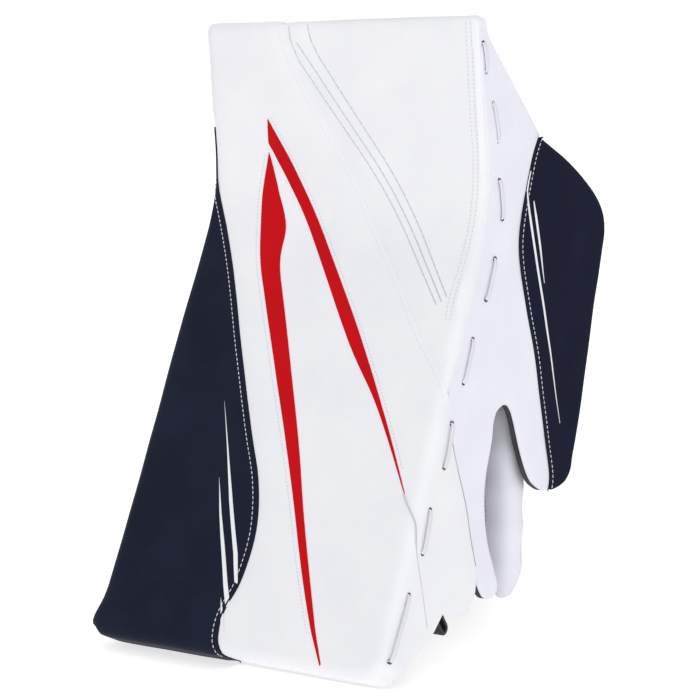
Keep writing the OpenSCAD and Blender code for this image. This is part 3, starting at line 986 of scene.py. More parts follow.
    def unwrap(self, place: Vector) -> Array:
        """The flat pattern's (u, v) of a place on the face."""
        x, y, z = (np.array(place) - self.head) / MM
        tried = np.linspace(0, self.length, 1525)
        face_y, face_z = self.along(tried, np.zeros_like(tried))
        return np.array([x, tried[np.argmin((face_y - y) ** 2 + (face_z - z) ** 2)]])

    def skin(self, path: Array, lift: float = 0.0) -> tuple[Array, Array]:
        """A flat path laid on the skin.

        Args:
            path: Places (u, v).
            lift: Height over the skin.

        Returns:
            Its places in the row frame, and the way the skin faces at each.
        """
        low, high = (self.wrap(path[:, 0], path[:, 1], lift + rise) for rise in (0.0, 1.0))
        return low, unit(high - low)

    def wall(self, yz: Array, lift: Union[float, Array] = 0.0) -> Array:
        """Places on the thumb side's wall, from their y and z."""
        return self.row(np.column_stack([self.side_x(yz[:, 1]) + lift, yz]))

    def wall_skin(self, path: Array, lift: float = 0.0) -> tuple[Array, Array]:
        """A path in y and z laid on the wall, with the way the wall faces."""
        out = unit(np.array([1.0, 0.0, self.wall_slope]))
        return self.wall(path, lift), np.tile(out, (len(path), 1))


# ---- The face ----


@dataclass
class FaceUpholstery:
    """The leather of the face: a main panel, a lower panel that wraps on to the side, and colour panels."""

    form: BoardForm
    sight: Sight
    cell: float = 3.0
    hide: float = 1.0
    wrap_depth: float = 15.5
    upper_lift: float = 0.0
    lower_lift: float = 0.7
    side_rise: float = 1.1
    navy_lift: float = 1.1
    stripe_lift: float = 1.05
    swells: Sequence[tuple[float, float, float]] = ((0.35, 1.0, 46.0), (0.12, 4.0, 13.0))
    turn_roll: tuple[float, float] = (0.7, 2.6)
    band_roll: tuple[float, float] = (0.8, 9.0)
    line_groove: tuple[float, float] = (-0.5, 1.6)
    seam_grooves: Flat = ((-0.9, 5.0), (-0.8, 5.0), (-0.55, 4.0), (-0.55, 4.0))
    main_seam: Flat = ((-40.0, -14), (-39.6, 3), (-34.5, 18), (-24.7, 37.5), (-13.5, 57), (-1.5, 76.5),
                       (11.4, 97), (25.2, 118.3), (39.5, 137), (53.9, 155.5), (74.2, 182.8), (95.0, 207))
    side_seam: Flat = ((220, 6), (231, 12), (242, 20), (266, 43), (285, 58), (299, 70))
    side_foot: Flat = ((312, 73), (325, 70), (329, 60), (331, 45), (343, 40), (362, 25), (374, 17))
    navy_seam: Flat = ((-97.5, 62), (-94, 100), (-70, 151), (-48, 201), (-26, 249), (-12, 278),
                       (-4.5, 307), (-6, 336), (-11.5, 352), (-13.2, 362), (-12.0, 373), (-9.0, 380),
                       (-8.6, 387), (-8.6, 401))
    long_left: Flat = ((-55, 78), (-59, 106), (-52, 141), (-34, 181), (6, 264), (37.6, 334), (61, 379))
    long_right: Flat = ((61.6, 378), (28.4, 300), (10, 252), (-21, 180), (-35, 147), (-37.6, 123), (-46, 103))
    short_outer: Flat = ((-54, 57), (-30, 96), (-8, 128), (33, 185), (62, 230), (89, 276))
    short_inner: Flat = ((88.4, 276), (57, 228), (27, 191), (-20, 124), (-45, 88), (-55, 72))
    fine_lines: Sequence[Flat] = (
        ((-34.8, 1), (-33.4, 10), (-28.6, 22), (81, 166)),
        ((-28.5, 12), (-21, 22), (84, 164)),
        ((-20.6, 1), (-18.6, 10), (-14, 19.5), (86.6, 161)))
    slivers: Sequence[Flat] = (
        ((-50.6, 232), (-38, 262), (-26, 291), (-13, 321), (-8, 338), (-10.5, 337), (-16, 321),
         (-28.5, 291), (-39, 262)),
        ((-40, 278), (-32, 298), (-24.5, 315), (-10, 350), (-12.5, 352), (-27, 315), (-33.5, 298)),
        ((-17, 347), (-12.5, 357), (-9.5, 366), (-11.5, 367), (-14.5, 357)))
    foot_seam: Flat = ((289, 0.6), (298, 3.4), (307, 6.4), (325, 20), (342, 33))
    turn_seam: Flat = ((92.6, 3), (92.8, 60), (93.4, 110), (93.2, 140), (92.0, 160), (92.8, 175))

    def __post_init__(self) -> None:
        """Works out the seams that wrap on to the side."""
        form = self.form
        side = [(form.side_u(s, d), s) for s, d in self.side_seam]
        foot = [(form.side_u(s, d), s) for s, d in self.side_foot]
        self.seam = curve_through([*self.main_seam, *side])
        self.foot = np.array(foot)
        self.navy_line = curve_through(self.navy_seam)
        self.past = form.roll + self.wrap_depth

    def relief(self, flat: Array) -> Array:
        """Height of the padding over flat places: quilted swells, and grooves where it is sewn down."""
        seams = (self.seam, self.navy_line, curve_through(self.long_left), curve_through(self.short_inner))
        height = sum(rise * swell(flat, seed, size) for rise, seed, size in self.swells)
        height += ridge(flat, curve_through(self.turn_seam) + (2.8, 0), *self.turn_roll)
        for seam, groove in zip(seams, self.seam_grooves):
            height += ridge(flat, seam, *groove)
        height += ridge(flat, self.fine_lines[1], *self.band_roll)
        for line in self.fine_lines:
            height += ridge(flat, line, *self.line_groove)
        return height

    def sheet(self, name: str, outline: Array, lift: float, cell: float, hide: float,
              side_rise: float = 0.0) -> Obj:
        """Cuts a panel and lays it on the board.

        Args:
            name: The piece's name.
            outline: Its edge in the flat pattern.
            lift: Height of its face over the skin.
            cell: Size of its cells.
            hide: Thickness of the material.
            side_rise: How much higher it lies where it covers the thumb side.

        Returns:
            The piece.
        """
        piece = Bench.panel(name, outline, cell)
        Bench.edit(piece, bpy.ops.mesh.flip_normals)
        flat = Bench.points(piece)[:, :2]
        Bench.map_flat(piece, flat)
        Bench.move(piece, self.form.wrap(flat[:, 0], flat[:, 1], self.height(flat, lift, side_rise)))
        return Bench.smooth(Bench.thicken(piece, hide), 35)

    def height(self, flat: Array, lift: float, side_rise: float = 0.0) -> Array:
        """Height over the skin of a panel that lies at lift, and side_rise more on the thumb side."""
        over = flat[:, 0] - (self.form.half_width(flat[:, 1]) - self.form.edge + self.form.roll)
        return lift + self.relief(flat) + side_rise * np.clip(over / 3 + 1, 0, 1)

    def edge_u(self, s: float) -> float:
        """How far across the pattern reaches at s when it wraps the side down to its back."""
        return float(self.form.half_width(s)) - self.form.edge + self.past

    def upper_panel(self) -> None:
        """The main panel's upper part, to the right of the main seam."""
        tuck = 5.0
        seam = self.seam[self.seam[:, 1] < 203]
        under = seam + np.array([-tuck, tuck * 0.6])
        right = [(self.form.side_u(s, 6.4), s) for s in (218, 160, 110, 60, 9.6)]
        corner = [(self.form.side_u(8, 13.5), 8.2), (self.edge_u(8), 10.5), (self.edge_u(8), 8 - self.past)]
        outline = np.vstack([under, right, corner, [(-40.5, 8 - self.past)]])
        piece = self.sheet("face_upper_leather", outline, self.upper_lift, self.cell, self.hide)
        deliver(piece, WHITE_LEATHER, Slot.WHITE, "face_cover")

    def lower_panel(self) -> Obj:
        """The main panel's lower part, which runs left of the main seam and wraps the thumb side's edge."""
        tuck = np.array([-4.0, 0.0])
        low = self.form.length - self.form.edge + self.past
        navy = (self.navy_line + tuck)[::-1]
        corner = [(self.form.side_u(381, 17), 384), (self.edge_u(372) - 2, low), (-10, low)]
        head = [(-self.edge_u(48), 46), (-self.edge_u(9), 9), (-self.edge_u(9), 9 - self.past)]
        outline = np.vstack([self.seam, self.foot, corner, navy[1:], head])
        piece = self.sheet("face_lower_leather", outline, self.lower_lift, self.cell, 1.6, self.side_rise)
        return deliver(piece, WHITE_LEATHER, Slot.WHITE)

    def navy_panel(self) -> Obj:
        """The navy panel, which wraps the little-finger side and the foot."""
        low = self.form.length - self.form.edge + self.past
        side = [(-self.edge_u(s), s) for s in (372, 200, 60)]
        outline = np.vstack([self.navy_line, [(-6.4, low), (-self.edge_u(372), low)], side])
        piece = self.sheet("navy_face_panel", outline, self.navy_lift, self.cell, self.hide)
        return deliver(piece, NAVY_LEATHER, Slot.NAVY, "face_panel")

    def stripes(self, ground: Obj) -> None:
        """The two red stripes, set by their points in the photograph.

        Args:
            ground: The panel that carries them.
        """
        sides = (("long_stripe", self.long_left, self.long_right, "long_stripe_apex"),
                 ("short_stripe", self.short_outer, self.short_inner, "short_stripe_apex"))
        for name, outer, inner, point in sides:
            shift = self.form.unwrap(self.sight.meet(point, ground)) - np.array(outer[0])
            LOG.info("%s is moved by %.1f, %.1f mm to its image point", name, *shift)
            outline = np.vstack([curve_through(outer), curve_through(inner)]) + shift
            piece = self.sheet(f"{name}_leather", outline, self.stripe_lift, 4.0, 0.6)
            deliver(piece, RED_LEATHER, Slot.RED, name)

    def fine_work(self, ground: Obj) -> None:
        """Grey lines, white slivers, pipings and stitch rows of the face.

        Args:
            ground: The navy panel, which carries the slivers.
        """
        form = self.form
        for k, line in enumerate(self.fine_lines):
            path = spaced(np.array(line), 3.0)
            places, ups = form.skin(path, 0.0)
            rise = (self.upper_lift + self.relief(path) + 0.12)[:, None] * MM
            tube = Bench.sweep(f"face_line_{k + 1}", places + ups * rise, ups, round_section(0.75, 0.6, 6))
            deliver(tube, SHADED_PALE_THREAD, Slot.WHITE)
        shift = form.unwrap(self.sight.meet("sliver_head", ground)) - np.array(self.slivers[0][0])
        for k, outline in enumerate(self.slivers):
            name = f"navy_sliver_{k + 1}"
            piece = self.sheet(name, np.array(outline) + shift, self.navy_lift + 0.25, 4.0, 0.35)
            deliver(piece, WHITE_LEATHER, Slot.WHITE)
        navy = self.navy_line[(self.navy_line[:, 1] > 56) & (self.navy_line[:, 1] < 388)]
        self.run("navy_piping", navy + (0.3, 0.0), self.navy_lift - 0.25, round_section(1.7, 1.5),
                 NAVY_LEATHER, Slot.NAVY)
        self.row("navy_seam_stitches", navy + (-2.7, 0.5), self.navy_lift, SEAM_STITCH, WHITE_THREAD)
        below = self.seam[(self.seam[:, 1] > -4)]
        self.row("main_seam_stitches", below + (-2.6, 1.8), self.lower_lift, FINE_STITCH, WHITE_THREAD)
        left = curve_through(self.long_left)[:-3] + (-2.6, 0)
        self.row("stripe_stitches_left", left, self.lower_lift)
        right = curve_through(self.short_outer)[:-2] + (2.4, -1.6)
        self.row("stripe_stitches_right", right, self.lower_lift)
        turn = curve_through(self.turn_seam)
        for k, gap in enumerate((0.0, 3.4)):
            self.row(f"turn_seam_stitches_{k + 1}", turn + (gap - 3.4, 0.0), self.upper_lift)
        self.side_seams()

    def side_seams(self) -> None:
        """The seam at the foot of the thumb side, and a grey cord laid under the lower panel's edge as its
        painted shadow.
        """
        form = self.form
        foot = curve_through([self.short_outer[-1], *((form.side_u(s, d), s) for s, d in self.foot_seam)])
        lift = self.lower_lift + self.side_rise - 0.1
        self.run("foot_seam_line", foot, lift, round_section(0.8, 0.6, 6), SHADED_PALE_THREAD, Slot.WHITE)
        edge = self.seam[(self.seam[:, 1] > 238) & (self.seam[:, 1] < 298)]
        shade = edge + (0.7, -0.2)
        # A grey cord just past the lower panel's edge: painted shadow.
        self.run("side_seam_shadow", shade, 1.35, round_section(1.0, 0.9, 6), GREY_THREAD_AND_SHADOW_LINE, Slot.WHITE)

    def run(self, name: str, line: Array, lift: float, section: Array, finish: Finish, slot: Slot) -> None:
        """Sweeps a section along a line on the face and delivers it."""
        path = spaced(line, 3.0)
        places, ups = self.form.skin(path)
        rise = (lift + self.relief(path))[:, None] * MM
        deliver(Bench.sweep(name, places + ups * rise, ups, section), finish, slot)

    def row(self, name: str, line: Array, lift: float, stitch: Stitching = THIN_STITCH,
            thread: Weave = SHADED_PALE_THREAD) -> None:
        """Sews a row of stitches along a line on the face and delivers it."""
        path = spaced(line, 2.0)
        places, ups = self.form.skin(path)
        rise = (lift + self.relief(path) + 0.1)[:, None] * MM
        deliver(stitch.row(name, places + ups * rise, ups), thread, Slot.WHITE)

    def build(self) -> None:
        """Makes the whole face."""
        self.upper_panel()
        lower = self.lower_panel()
        navy = self.navy_panel()
        self.stripes(lower)
        self.fine_work(navy)


# ---- The thumb side ----


@dataclass
class ThumbSide:
    """The side wall and the thumb flap: one white hide with an arch in it, and a navy panel."""

    form: BoardForm
    sight: Sight
    cell: float = 3.0
    body: float = 4.2
    lining: float = 1.0
    bend_reach: float = 6.0
    flex: Flat = ((47.8, -55), (4.4, -222.6))
    guard_edge: Flat = ((325, 70), (312, 73), (299, 70))
    tongue_edge: Flat = ((-36, -318), (-30, -328), (-21, -331), (-14, -327), (-17, -313), (-21, -298),
                         (-22, -276), (-18, -258), (-10, -240), (-7.2, -230.5), (-3.2, -224.8), (4.4, -222.6))
    arch_edge: Flat = ((4.4, -222.6), (9, -224.2), (12.5, -228.6), (15, -235), (20, -253), (28.5, -272),
                       (38, -280.5), (46, -284.0))
    eyelets: Flat = ((2.8, -15.2), (4.5, -31.5), (10.3, -49.9), (13.8, -71.8), (12.8, -94.1), (14.0, -116.3),
                     (3.8, -138.0), (-8.0, -159.6), (-24.4, -179.6), (-36.7, -202.1), (-51.7, -222.1),
                     (-63.4, -244.4), (-80.0, -264.5), (-89.9, -286.5), (-105.4, -305.7), (-126.8, -336.7))
    hide_lift: float = 0.5
    swells: Sequence[tuple[float, float, float]] = ((0.45, 2.0, 38.0), (0.15, 5.0, 11.0))
    hole_depth: float = 0.7
    hole_reach: float = 3.2
    edge_drop: float = 1.5
    edge_reach: float = 2.2
    panel_seam: Flat = ((48.5, -283.5), (51, -272), (46, -234), (41, -197), (35.0, -170), (31.5, -145),
                        (32, -130), (38, -113), (46, -95), (52, -84), (61, -72.6))
    slope: Flat = ((48, -56.5), (34.0, -39.6), (20, -22.8), (6.5, -6.5))
    flap_outer: Flat = ((60.5, -73.5), (77, -82.5), (93.5, -92.0), (110, -103.4), (124.8, -116.0),
                        (133.0, -127.5), (134.6, -139), (130.6, -152), (111, -198), (87.5, -256), (81, -270), (77, -278.5),
                        (70, -283.6), (62, -285.2), (54, -285.2), (48.5, -283.5))
    thumb_lines: Sequence[Flat] = (
        ((46.8, -92.3), (42.6, -101), (42.4, -110.5), (50.3, -157.7), (57.4, -198.6), (65.3, -246.7)),
        ((48.7, -110.1), (53.2, -138.5), (56.0, -159.8)))

    def corner(self, edge: Flat, way: int) -> Array:
        """The highest (way 1) or lowest (way -1) place of an edge of the hide, in the row frame."""
        line = curve_through(edge)
        top = line[np.argmax(line[:, 1] * way)]
        return self.form.wall(top[None], self.hide_lift)[0]

    def bend(self) -> tuple[Vector, Vector]:
        """Where the flap's bend starts and ends, in the row frame."""
        a, b = (np.array(p, float) for p in self.flex)
        across = unit(np.array([-(b - a)[1], (b - a)[0]]))
        middle = (a + b) / 2
        ends = np.array([middle - across * self.bend_reach, middle + across * self.bend_reach])
        return tuple(Vector(p) for p in self.form.wall(ends))

    def relief(self, yz: Array, edge: Optional[Array] = None) -> Array:
        """Height of the hide over the wall's plane: slow swells, and a rolled edge along an outline."""
        height = sum(rise * swell(yz, seed, size) for rise, seed, size in self.swells)
        holes = np.array(self.eyelets)
        near = np.linalg.norm(yz[:, None, :] - holes[None], axis=2).min(1)
        height -= self.hole_depth * np.exp(-((near / self.hole_reach) ** 2))
        if edge is not None:
            near = np.clip(1 - distance_to(yz, edge) / self.edge_reach, 0, 1)
            height -= self.edge_drop * (1 - np.sqrt(1 - near**2))
        return height

    def slab(self, name: str, outline: Array, lift: float, thickness: float, rolled: Optional[Array]) -> Obj:
        """Cuts a panel in the wall's plane and gives it its thickness inwards.

        Args:
            name: The piece's name.
            outline: Its edge in y and z.
            lift: Height of its face over the wall's plane.
            thickness: Its thickness in millimetres.
            rolled: The part of the edge that is rolled over.

        Returns:
            The piece.
        """
        piece = Bench.panel(name, outline, self.cell, (0.5, 0.7) if rolled is not None else ())
        flat = Bench.points(piece)[:, :2]
        Bench.map_flat(piece, flat)
        Bench.move(piece, self.form.wall(flat, lift + self.relief(flat, rolled)))
        return Bench.smooth(Bench.thicken(piece, thickness), 50)

    def front_edge(self) -> Array:
        """The wall's front edge in the board's side, and its foot."""
        s = np.array([9, 30, 52, 75, 86, 97, 108, 119, 130, 190, 250, 310, 372, 362, 343, 331])
        d = np.array([5.0] * 13 + [20, 36, 42])
        return np.column_stack(self.form.along(s, d))

    def build(self) -> Obj:
        """Makes the wall, the flap and their work, and returns the hide, which the lace lies on."""
        bend = self.bend()
        across = dict(to=Body.FLAP.value, bend=bend)
        guard = np.column_stack(self.form.along(*np.array(curve_through(self.guard_edge)).T))
        tongue, arch = curve_through(self.tongue_edge), curve_through(self.arch_edge)
        seam, outer = curve_through(self.panel_seam), curve_through(self.flap_outer)
        hide_edge = np.vstack([self.front_edge(), guard, tongue[:-1], arch, seam[1:], np.array(self.slope)])
        free = np.vstack([guard, tongue, arch])
        hide = self.slab("side_leather", hide_edge, self.hide_lift, self.body - 2.4, free)
        deliver(hide, SHADED_SIDE_LEATHER, Slot.WHITE, "wall_cover", "flap_cover", "wall_foam", "flap_foam", **across)
        flap_edge = np.vstack([outer[:-1], seam[:-1]])
        flap = self.slab("thumb_panel_navy", flap_edge, self.hide_lift + 0.6, self.body, outer)
        # The flap wears the darkened copy of the navy leather, painted shade against its reflection.
        deliver(flap, SHADED_FLAP_LEATHER, Slot.NAVY, "flap_panel", **across)
        around = [self.front_edge(), guard, tongue[:-1], arch[:-1], outer[::-1][:-1], np.array(self.slope)]
        whole = np.vstack(around)
        lining = self.slab("side_lining_knit", whole, 2.4 - self.body, self.body - 1.4, None)
        deliver(lining, KNIT, Slot.KNIT, "wall_lining", "flap_lining", **across)
        self.work(flap, seam, across)
        return hide

    def work(self, flap: Obj, seam: Array, across: Mapping[str, object]) -> None:
        """Piping, stitches and the thin white lines of the flap.

        Args:
            flap: The navy panel, which carries the lines.
            seam: The seam between the hide and the panel.
            across: The to and bend settings passed on to deliver.
        """
        seam = seam[::-1]
        places, ups = self.form.wall_skin(spaced(seam, 3.0)[1:], self.hide_lift + 0.35)
        piping = Bench.sweep("thumb_panel_piping", places, ups, round_section(1.6, 1.5))
        deliver(piping, NAVY_LEATHER, Slot.NAVY, **across)
        inner = spaced(seam, 2.0)[1:] + (2.7, -0.6)
        places, ups = self.form.wall_skin(inner, self.hide_lift + 0.7)
        lift = (self.relief(inner) + 0.05)[:, None] * MM
        stitches = SEAM_STITCH.row("thumb_seam_stitches", places + ups * lift, ups)
        deliver(stitches, WHITE_THREAD, Slot.WHITE, **across)
        met = (np.array(self.sight.meet("thumb_line_head", flap)) - self.form.head) / MM
        shift = met[1:] - np.array(self.thumb_lines[0][0])
        for k, line in enumerate(self.thumb_lines):
            path = spaced(curve_through(line), 3.0) + shift
            places, ups = self.form.wall_skin(path, self.hide_lift + 0.6)
            places = places + ups * self.relief(path)[:, None] * MM
            taper = np.interp(np.linspace(0, 1, len(path)), [0, 0.2, 0.6, 1], [0.5, 1.2, 1.0, 0.25])
            section = flat_section(1.7, 0.35, 0.15)
            ribbon = Bench.sweep(f"thumb_line_{k + 1}", places, ups, section, fatness=taper)
            deliver(ribbon, WHITE_LEATHER, Slot.WHITE, **across)


# ---- Lace, finger guard and the board's back ----


@dataclass
class SideLace:
    """One flat lace that runs in and out through the holes of the thumb side's wall."""

    form: BoardForm
    side: ThumbSide
    sight: Sight
    width: float = 3.3
    height: float = 1.2
    out: float = 1.45
    deep: float = 6.0
    over_panel: float = 1.7
    hole: float = 1.25
    stitch: Flat = ((0.0, 0.1), (0.07, 0.8), (0.2, 1.0), (0.5, 1.06), (0.8, 1.0), (0.93, 0.8), (1.0, 0.1))

    def places(self, hide: Obj) -> Array:
        """The holes' places in y and z, moved so that two stitches meet their image points.

        Args:
            hide: The side's leather, which the lace lies on.

        Returns:
            The places, the first and the last stitch that show being at their points.
        """
        holes = np.array(self.side.eyelets, float)
        moves = []
        for name, first in (("first_lace_stitch", 0), ("last_lace_stitch", len(holes) - 2)):
            met = (np.array(self.sight.meet(name, hide)) - self.form.head) / MM
            moves.append(met[1:] - holes[first:first + 2].mean(0))
            LOG.info("%s is moved by %.1f, %.1f mm to its image point", name, *moves[-1])
        share = np.linspace(0, 1, len(holes))[:, None]
        return holes + moves[0] * (1 - share) + moves[1] * share

    def build(self, hide: Obj) -> None:
        """Makes the lace, the holes' rims and a dark cap in each hole, painted shade for the hole's inside.

        Args:
            hide: The side's leather, which the lace lies on.
        """
        holes = self.places(hide)
        lift = np.interp(np.arange(len(holes)), [9, 10, 11], [0, 0.5 * self.over_panel, self.over_panel])
        path, rise = [holes[0]], [-self.deep]
        for k, (a, b) in enumerate(zip(holes[:-1], holes[1:])):
            high = self.out if k % 2 == 0 else -self.deep
            for share, part in self.stitch:
                path.append(a + (b - a) * share)
                over = lift[k] + (lift[k + 1] - lift[k]) * share
                rise.append(high * part + (over if k % 2 == 0 else 0))
        path.append(holes[-1])
        rise.append(-self.deep)
        line = curve_through(np.column_stack([path, rise]), 3)
        places, ups = self.form.wall_skin(line[:, :2])
        places = places + ups * (line[:, 2] * MM)[:, None]
        lace = Bench.sweep("side_lace_flat", places, ups, round_section(self.width, self.height, 10))
        deliver(lace, LACE, Slot.LACE, "side_lace")
        rims = []
        for k, (place, up) in enumerate(zip(*self.form.wall_skin(holes, 0.35 + lift))):
            Bench.clear()
            bpy.ops.mesh.primitive_torus_add(major_segments=14, minor_segments=5, major_radius=self.hole * MM,
                                             minor_radius=0.25 * MM)
            ring = Bench.named(f"eyelet_{k}")
            # A dark capped cylinder fills the hole: painted shade standing for its inside.
            bpy.ops.mesh.primitive_cylinder_add(vertices=14, radius=self.hole * MM, depth=3.0 * MM)
            hole_shade_cap = Bench.named(f"hole_{k}")
            hole_shade_cap.data.transform(Matrix.Translation((0, 0, -1.5 * MM)))
            pair = Bench.join(f"eyelet_{k}", [ring, hole_shade_cap])
            turn = Vector(up).to_track_quat("Z", "Y").to_matrix().to_4x4()
            pair.data.transform(Matrix.Translation(place) @ turn)
            rims.append(pair)
        deliver(Bench.smooth(Bench.join("eyelet_rims", rims), 50), ENAMEL_AND_HOLE_SHADE, Slot.EYELET, "eyelets")


@dataclass
class Cushion:
    """A stuffed pad blown up from the form of a CAD node."""

    cell: float = 4.5
    pressure: float = 4.0
    mass: float = 0.4
    stiffness: float = 25.0
    bending: float = 6.0
    frames: int = 20

    def build(self, name: str, node: str, cap: float = 8.0, cell: Optional[float] = None) -> Obj:
        """Blows the node's form up a little with a cloth simulation.

        Args:
            name: The piece's name.
            node: The CAD node that gives the form.
            cap: The farthest that a point may move, in millimetres.
            cell: Size of the cells.

        Returns:
            The piece, in place.
        """
        size = (cell or self.cell) * MM
        Bench.clear()
        source = frame["nodes"][node]
        piece = source.copy()
        piece.data = source.data.copy()
        bpy.context.scene.collection.objects.link(piece)
        piece.parent = None
        piece.matrix_world = Matrix.Identity(4)
        piece.hide_render = False
        piece.hide_set(False)
        piece.name = piece.data.name = name
        for key in list(piece.keys()):
            del piece[key]
        Bench.weld(piece, 0.02)
        Bench.apply(piece, "REMESH", mode="VOXEL", voxel_size=size)
        Bench.apply(piece, "SMOOTH", factor=0.5, iterations=2)
        before = Bench.points(piece)
        self.blow(piece)
        moved = Bench.points(piece) - before
        far = np.linalg.norm(moved, axis=1, keepdims=True)
        Bench.move(piece, before + moved * np.minimum(1, cap * MM / np.maximum(far, 1e-9)))
        Bench.apply(piece, "SUBSURF", levels=1, render_levels=1)
        return Bench.smooth(piece, 60)

    def blow(self, piece: Obj) -> None:
        """Runs the cloth simulation and applies it."""
        Bench.take(piece)
        cloth = piece.modifiers.new("Cloth", "CLOTH")
        settings = cloth.settings
        settings.use_pressure = True
        settings.uniform_pressure_force = self.pressure
        settings.effector_weights.gravity = 0
        settings.mass = self.mass
        settings.tension_stiffness = settings.compression_stiffness = self.stiffness
        settings.bending_stiffness = self.bending
        cloth.point_cache.frame_start, cloth.point_cache.frame_end = 1, self.frames
        for frame_number in range(1, self.frames + 1):
            bpy.context.scene.frame_set(frame_number)
            bpy.context.view_layer.update()
        bpy.ops.object.modifier_apply(modifier=cloth.name)
        bpy.context.scene.frame_set(1)


@dataclass
class BoardBack:
    """The nylon back sheet with its bound edge, the foam wedge and the pads between board and glove."""

    form: BoardForm
    depth: float = 22.2
    tape: float = 9.5
    inset: float = 6.2
    corner: float = 9.0
    corner_steps: int = 5
    thumb_inset: float = 3.0
    core_depths: tuple[float, float] = (3.2, 20.4)
    loop: tuple[float, float, float] = (89.0, 331.0, 55.0)
    loop_tilt: float = 30.0
    loop_drop: float = 10.4
    loop_ends: tuple[float, float] = (13.0, 4.0)
    fold: float = 1.7

    def outline(self, inset: float) -> Array:
        """The back's outline in x and s, drawn in by inset, with rounded corners."""
        turns = []
        length = self.form.length
        for across, foot, start in ((1, 0, -90), (1, 1, 0), (-1, 1, 90), (-1, 0, 180)):
            s = length - inset - self.corner if foot else inset + self.corner
            u = float(self.form.half_width(s)) - inset - self.corner
            if across > 0:
                u -= self.thumb_inset
            for step in range(self.corner_steps + 1):
                a = math.radians(start + 90 / self.corner_steps * step)
                turns.append((across * u + self.corner * math.cos(a), s + self.corner * math.sin(a)))
        return np.column_stack(self.form.shape_foot(*spaced(np.array([*turns, turns[0]]), 5.0).T))

    def lay(self, xs: Array, lift: float) -> Array:
        """Places of (x, s) on the board's back, lift behind it."""
        y, z = self.form.along(xs[:, 1], np.full(len(xs), self.depth + lift))
        return self.form.row(np.column_stack([xs[:, 0], y, z]))

    def core(self) -> None:
        """The foam block that fills the board between its face and its back."""
        block = Bench.panel("foam_core_block", self.outline(2.2)[:-1], 6.0)
        flat = Bench.points(block)[:, :2]
        Bench.map_flat(block, flat)
        Bench.move(block, self.lay(flat, self.core_depths[0] - self.depth))
        Bench.edit(block, lambda: bpy.ops.mesh.extrude_region_move())
        places = Bench.points(block)
        places[len(flat):] = self.lay(flat, self.core_depths[1] - self.depth)
        Bench.move(block, places)
        Bench.edit(block, lambda: bpy.ops.mesh.normals_make_consistent(inside=False))
        deliver(Bench.smooth(block), FOAM, Slot.FOAM, "board_foam", "board_stiffener")

    def build(self) -> None:
        """Makes every piece of the back."""
        self.core()
        sheet = Bench.panel("back_nylon_sheet", self.outline(1.2)[:-1], 5.0)
        flat = Bench.points(sheet)[:, :2]
        Bench.map_flat(sheet, flat)
        Bench.move(sheet, self.lay(flat, 0.0))
        if sheet.data.polygons[0].normal.y < 0:
            Bench.edit(sheet, bpy.ops.mesh.flip_normals)
        deliver(Bench.smooth(Bench.thicken(sheet, 1.0)), NYLON, Slot.NYLON, "back_cover")
        path = self.outline(self.inset)[:-1]
        low, high = self.lay(path, 0.1), self.lay(path, 1.1)
        ups = unit(high - low)
        tape = Bench.sweep("edge_binding_tape", low, ups, flat_section(self.tape, 1.6, 0.7), ring=True)
        deliver(tape, CHARCOAL_LEATHER, Slot.CHARCOAL, "edge_binding")
        for k, inset in enumerate((3.4, 8.9)):
            path = spaced(self.outline(inset), 2.5)
            low, high = self.lay(path, 1.75), self.lay(path, 2.75)
            stitches = FINE_STITCH.row(f"binding_stitches_{k + 1}", low, unit(high - low))
            deliver(stitches, GREY_THREAD_AND_SHADOW_LINE, Slot.CHARCOAL)
        pads = Cushion()
        guard = pads.build("index_guard_pad", "index_guard", 6.0)
        deliver(guard, WHITE_LEATHER, Slot.WHITE, "index_guard")
        pad = pads.build("backhand_cushion", "backhand_pad", 5.0)
        deliver(pad, SUEDE, Slot.CHARCOAL, "backhand_pad")
        wedge = pads.build("board_wedge", "mount_wedge", 5.0, 5.0)
        deliver(wedge, NYLON, Slot.NYLON, "mount_wedge")
        self.webbing()

    def webbing(self) -> None:
        """The folded webbing end under the finger guard."""
        x, s, d = self.loop
        tilt = math.radians(self.loop_tilt)
        down = np.array([math.sin(tilt), -math.cos(tilt)])
        over = np.array([math.cos(tilt), math.sin(tilt)]) * self.fold
        middle = np.array(self.form.along(s, d)) + down * self.loop_drop
        turn = np.radians(np.arange(0, 181, 15))
        bow = [middle + math.cos(a) * over + math.sin(a) * self.fold * down for a in turn]
        legs = [down * end for end in self.loop_ends]
        back = [middle - over - leg for leg in reversed(legs)]
        path = np.array([*(middle + over - leg for leg in legs), *bow, *back])
        places = self.form.row(np.column_stack([np.full(len(path), x), path]))
        flat = unit(np.gradient(path, axis=0))
        ups = np.column_stack([np.zeros(len(path)), -flat[:, 1], flat[:, 0]])
        band = Bench.sweep("guard_webbing", places, ups, flat_section(10.0, 2.2, 0.6))
        deliver(band, WEBBING, Slot.WEBBING, "guard_strap")


# ---- The glove ----


def boxed(turn: Array, power: float = 0.85) -> list[Array]:
    """The side and front parts of the ways at angles round a rounded box."""
    return [np.sign(part) * np.abs(part) ** power for part in (np.cos(turn), np.sin(turn))]


def boxy_section(width: float, depth: float, sides: int = 20) -> Array:
    """A rounded box section of that width and depth in millimetres."""
    side, front = boxed(np.arange(sides) * math.tau / sides)
    return np.column_stack([side * width / 2, front * depth / 2])


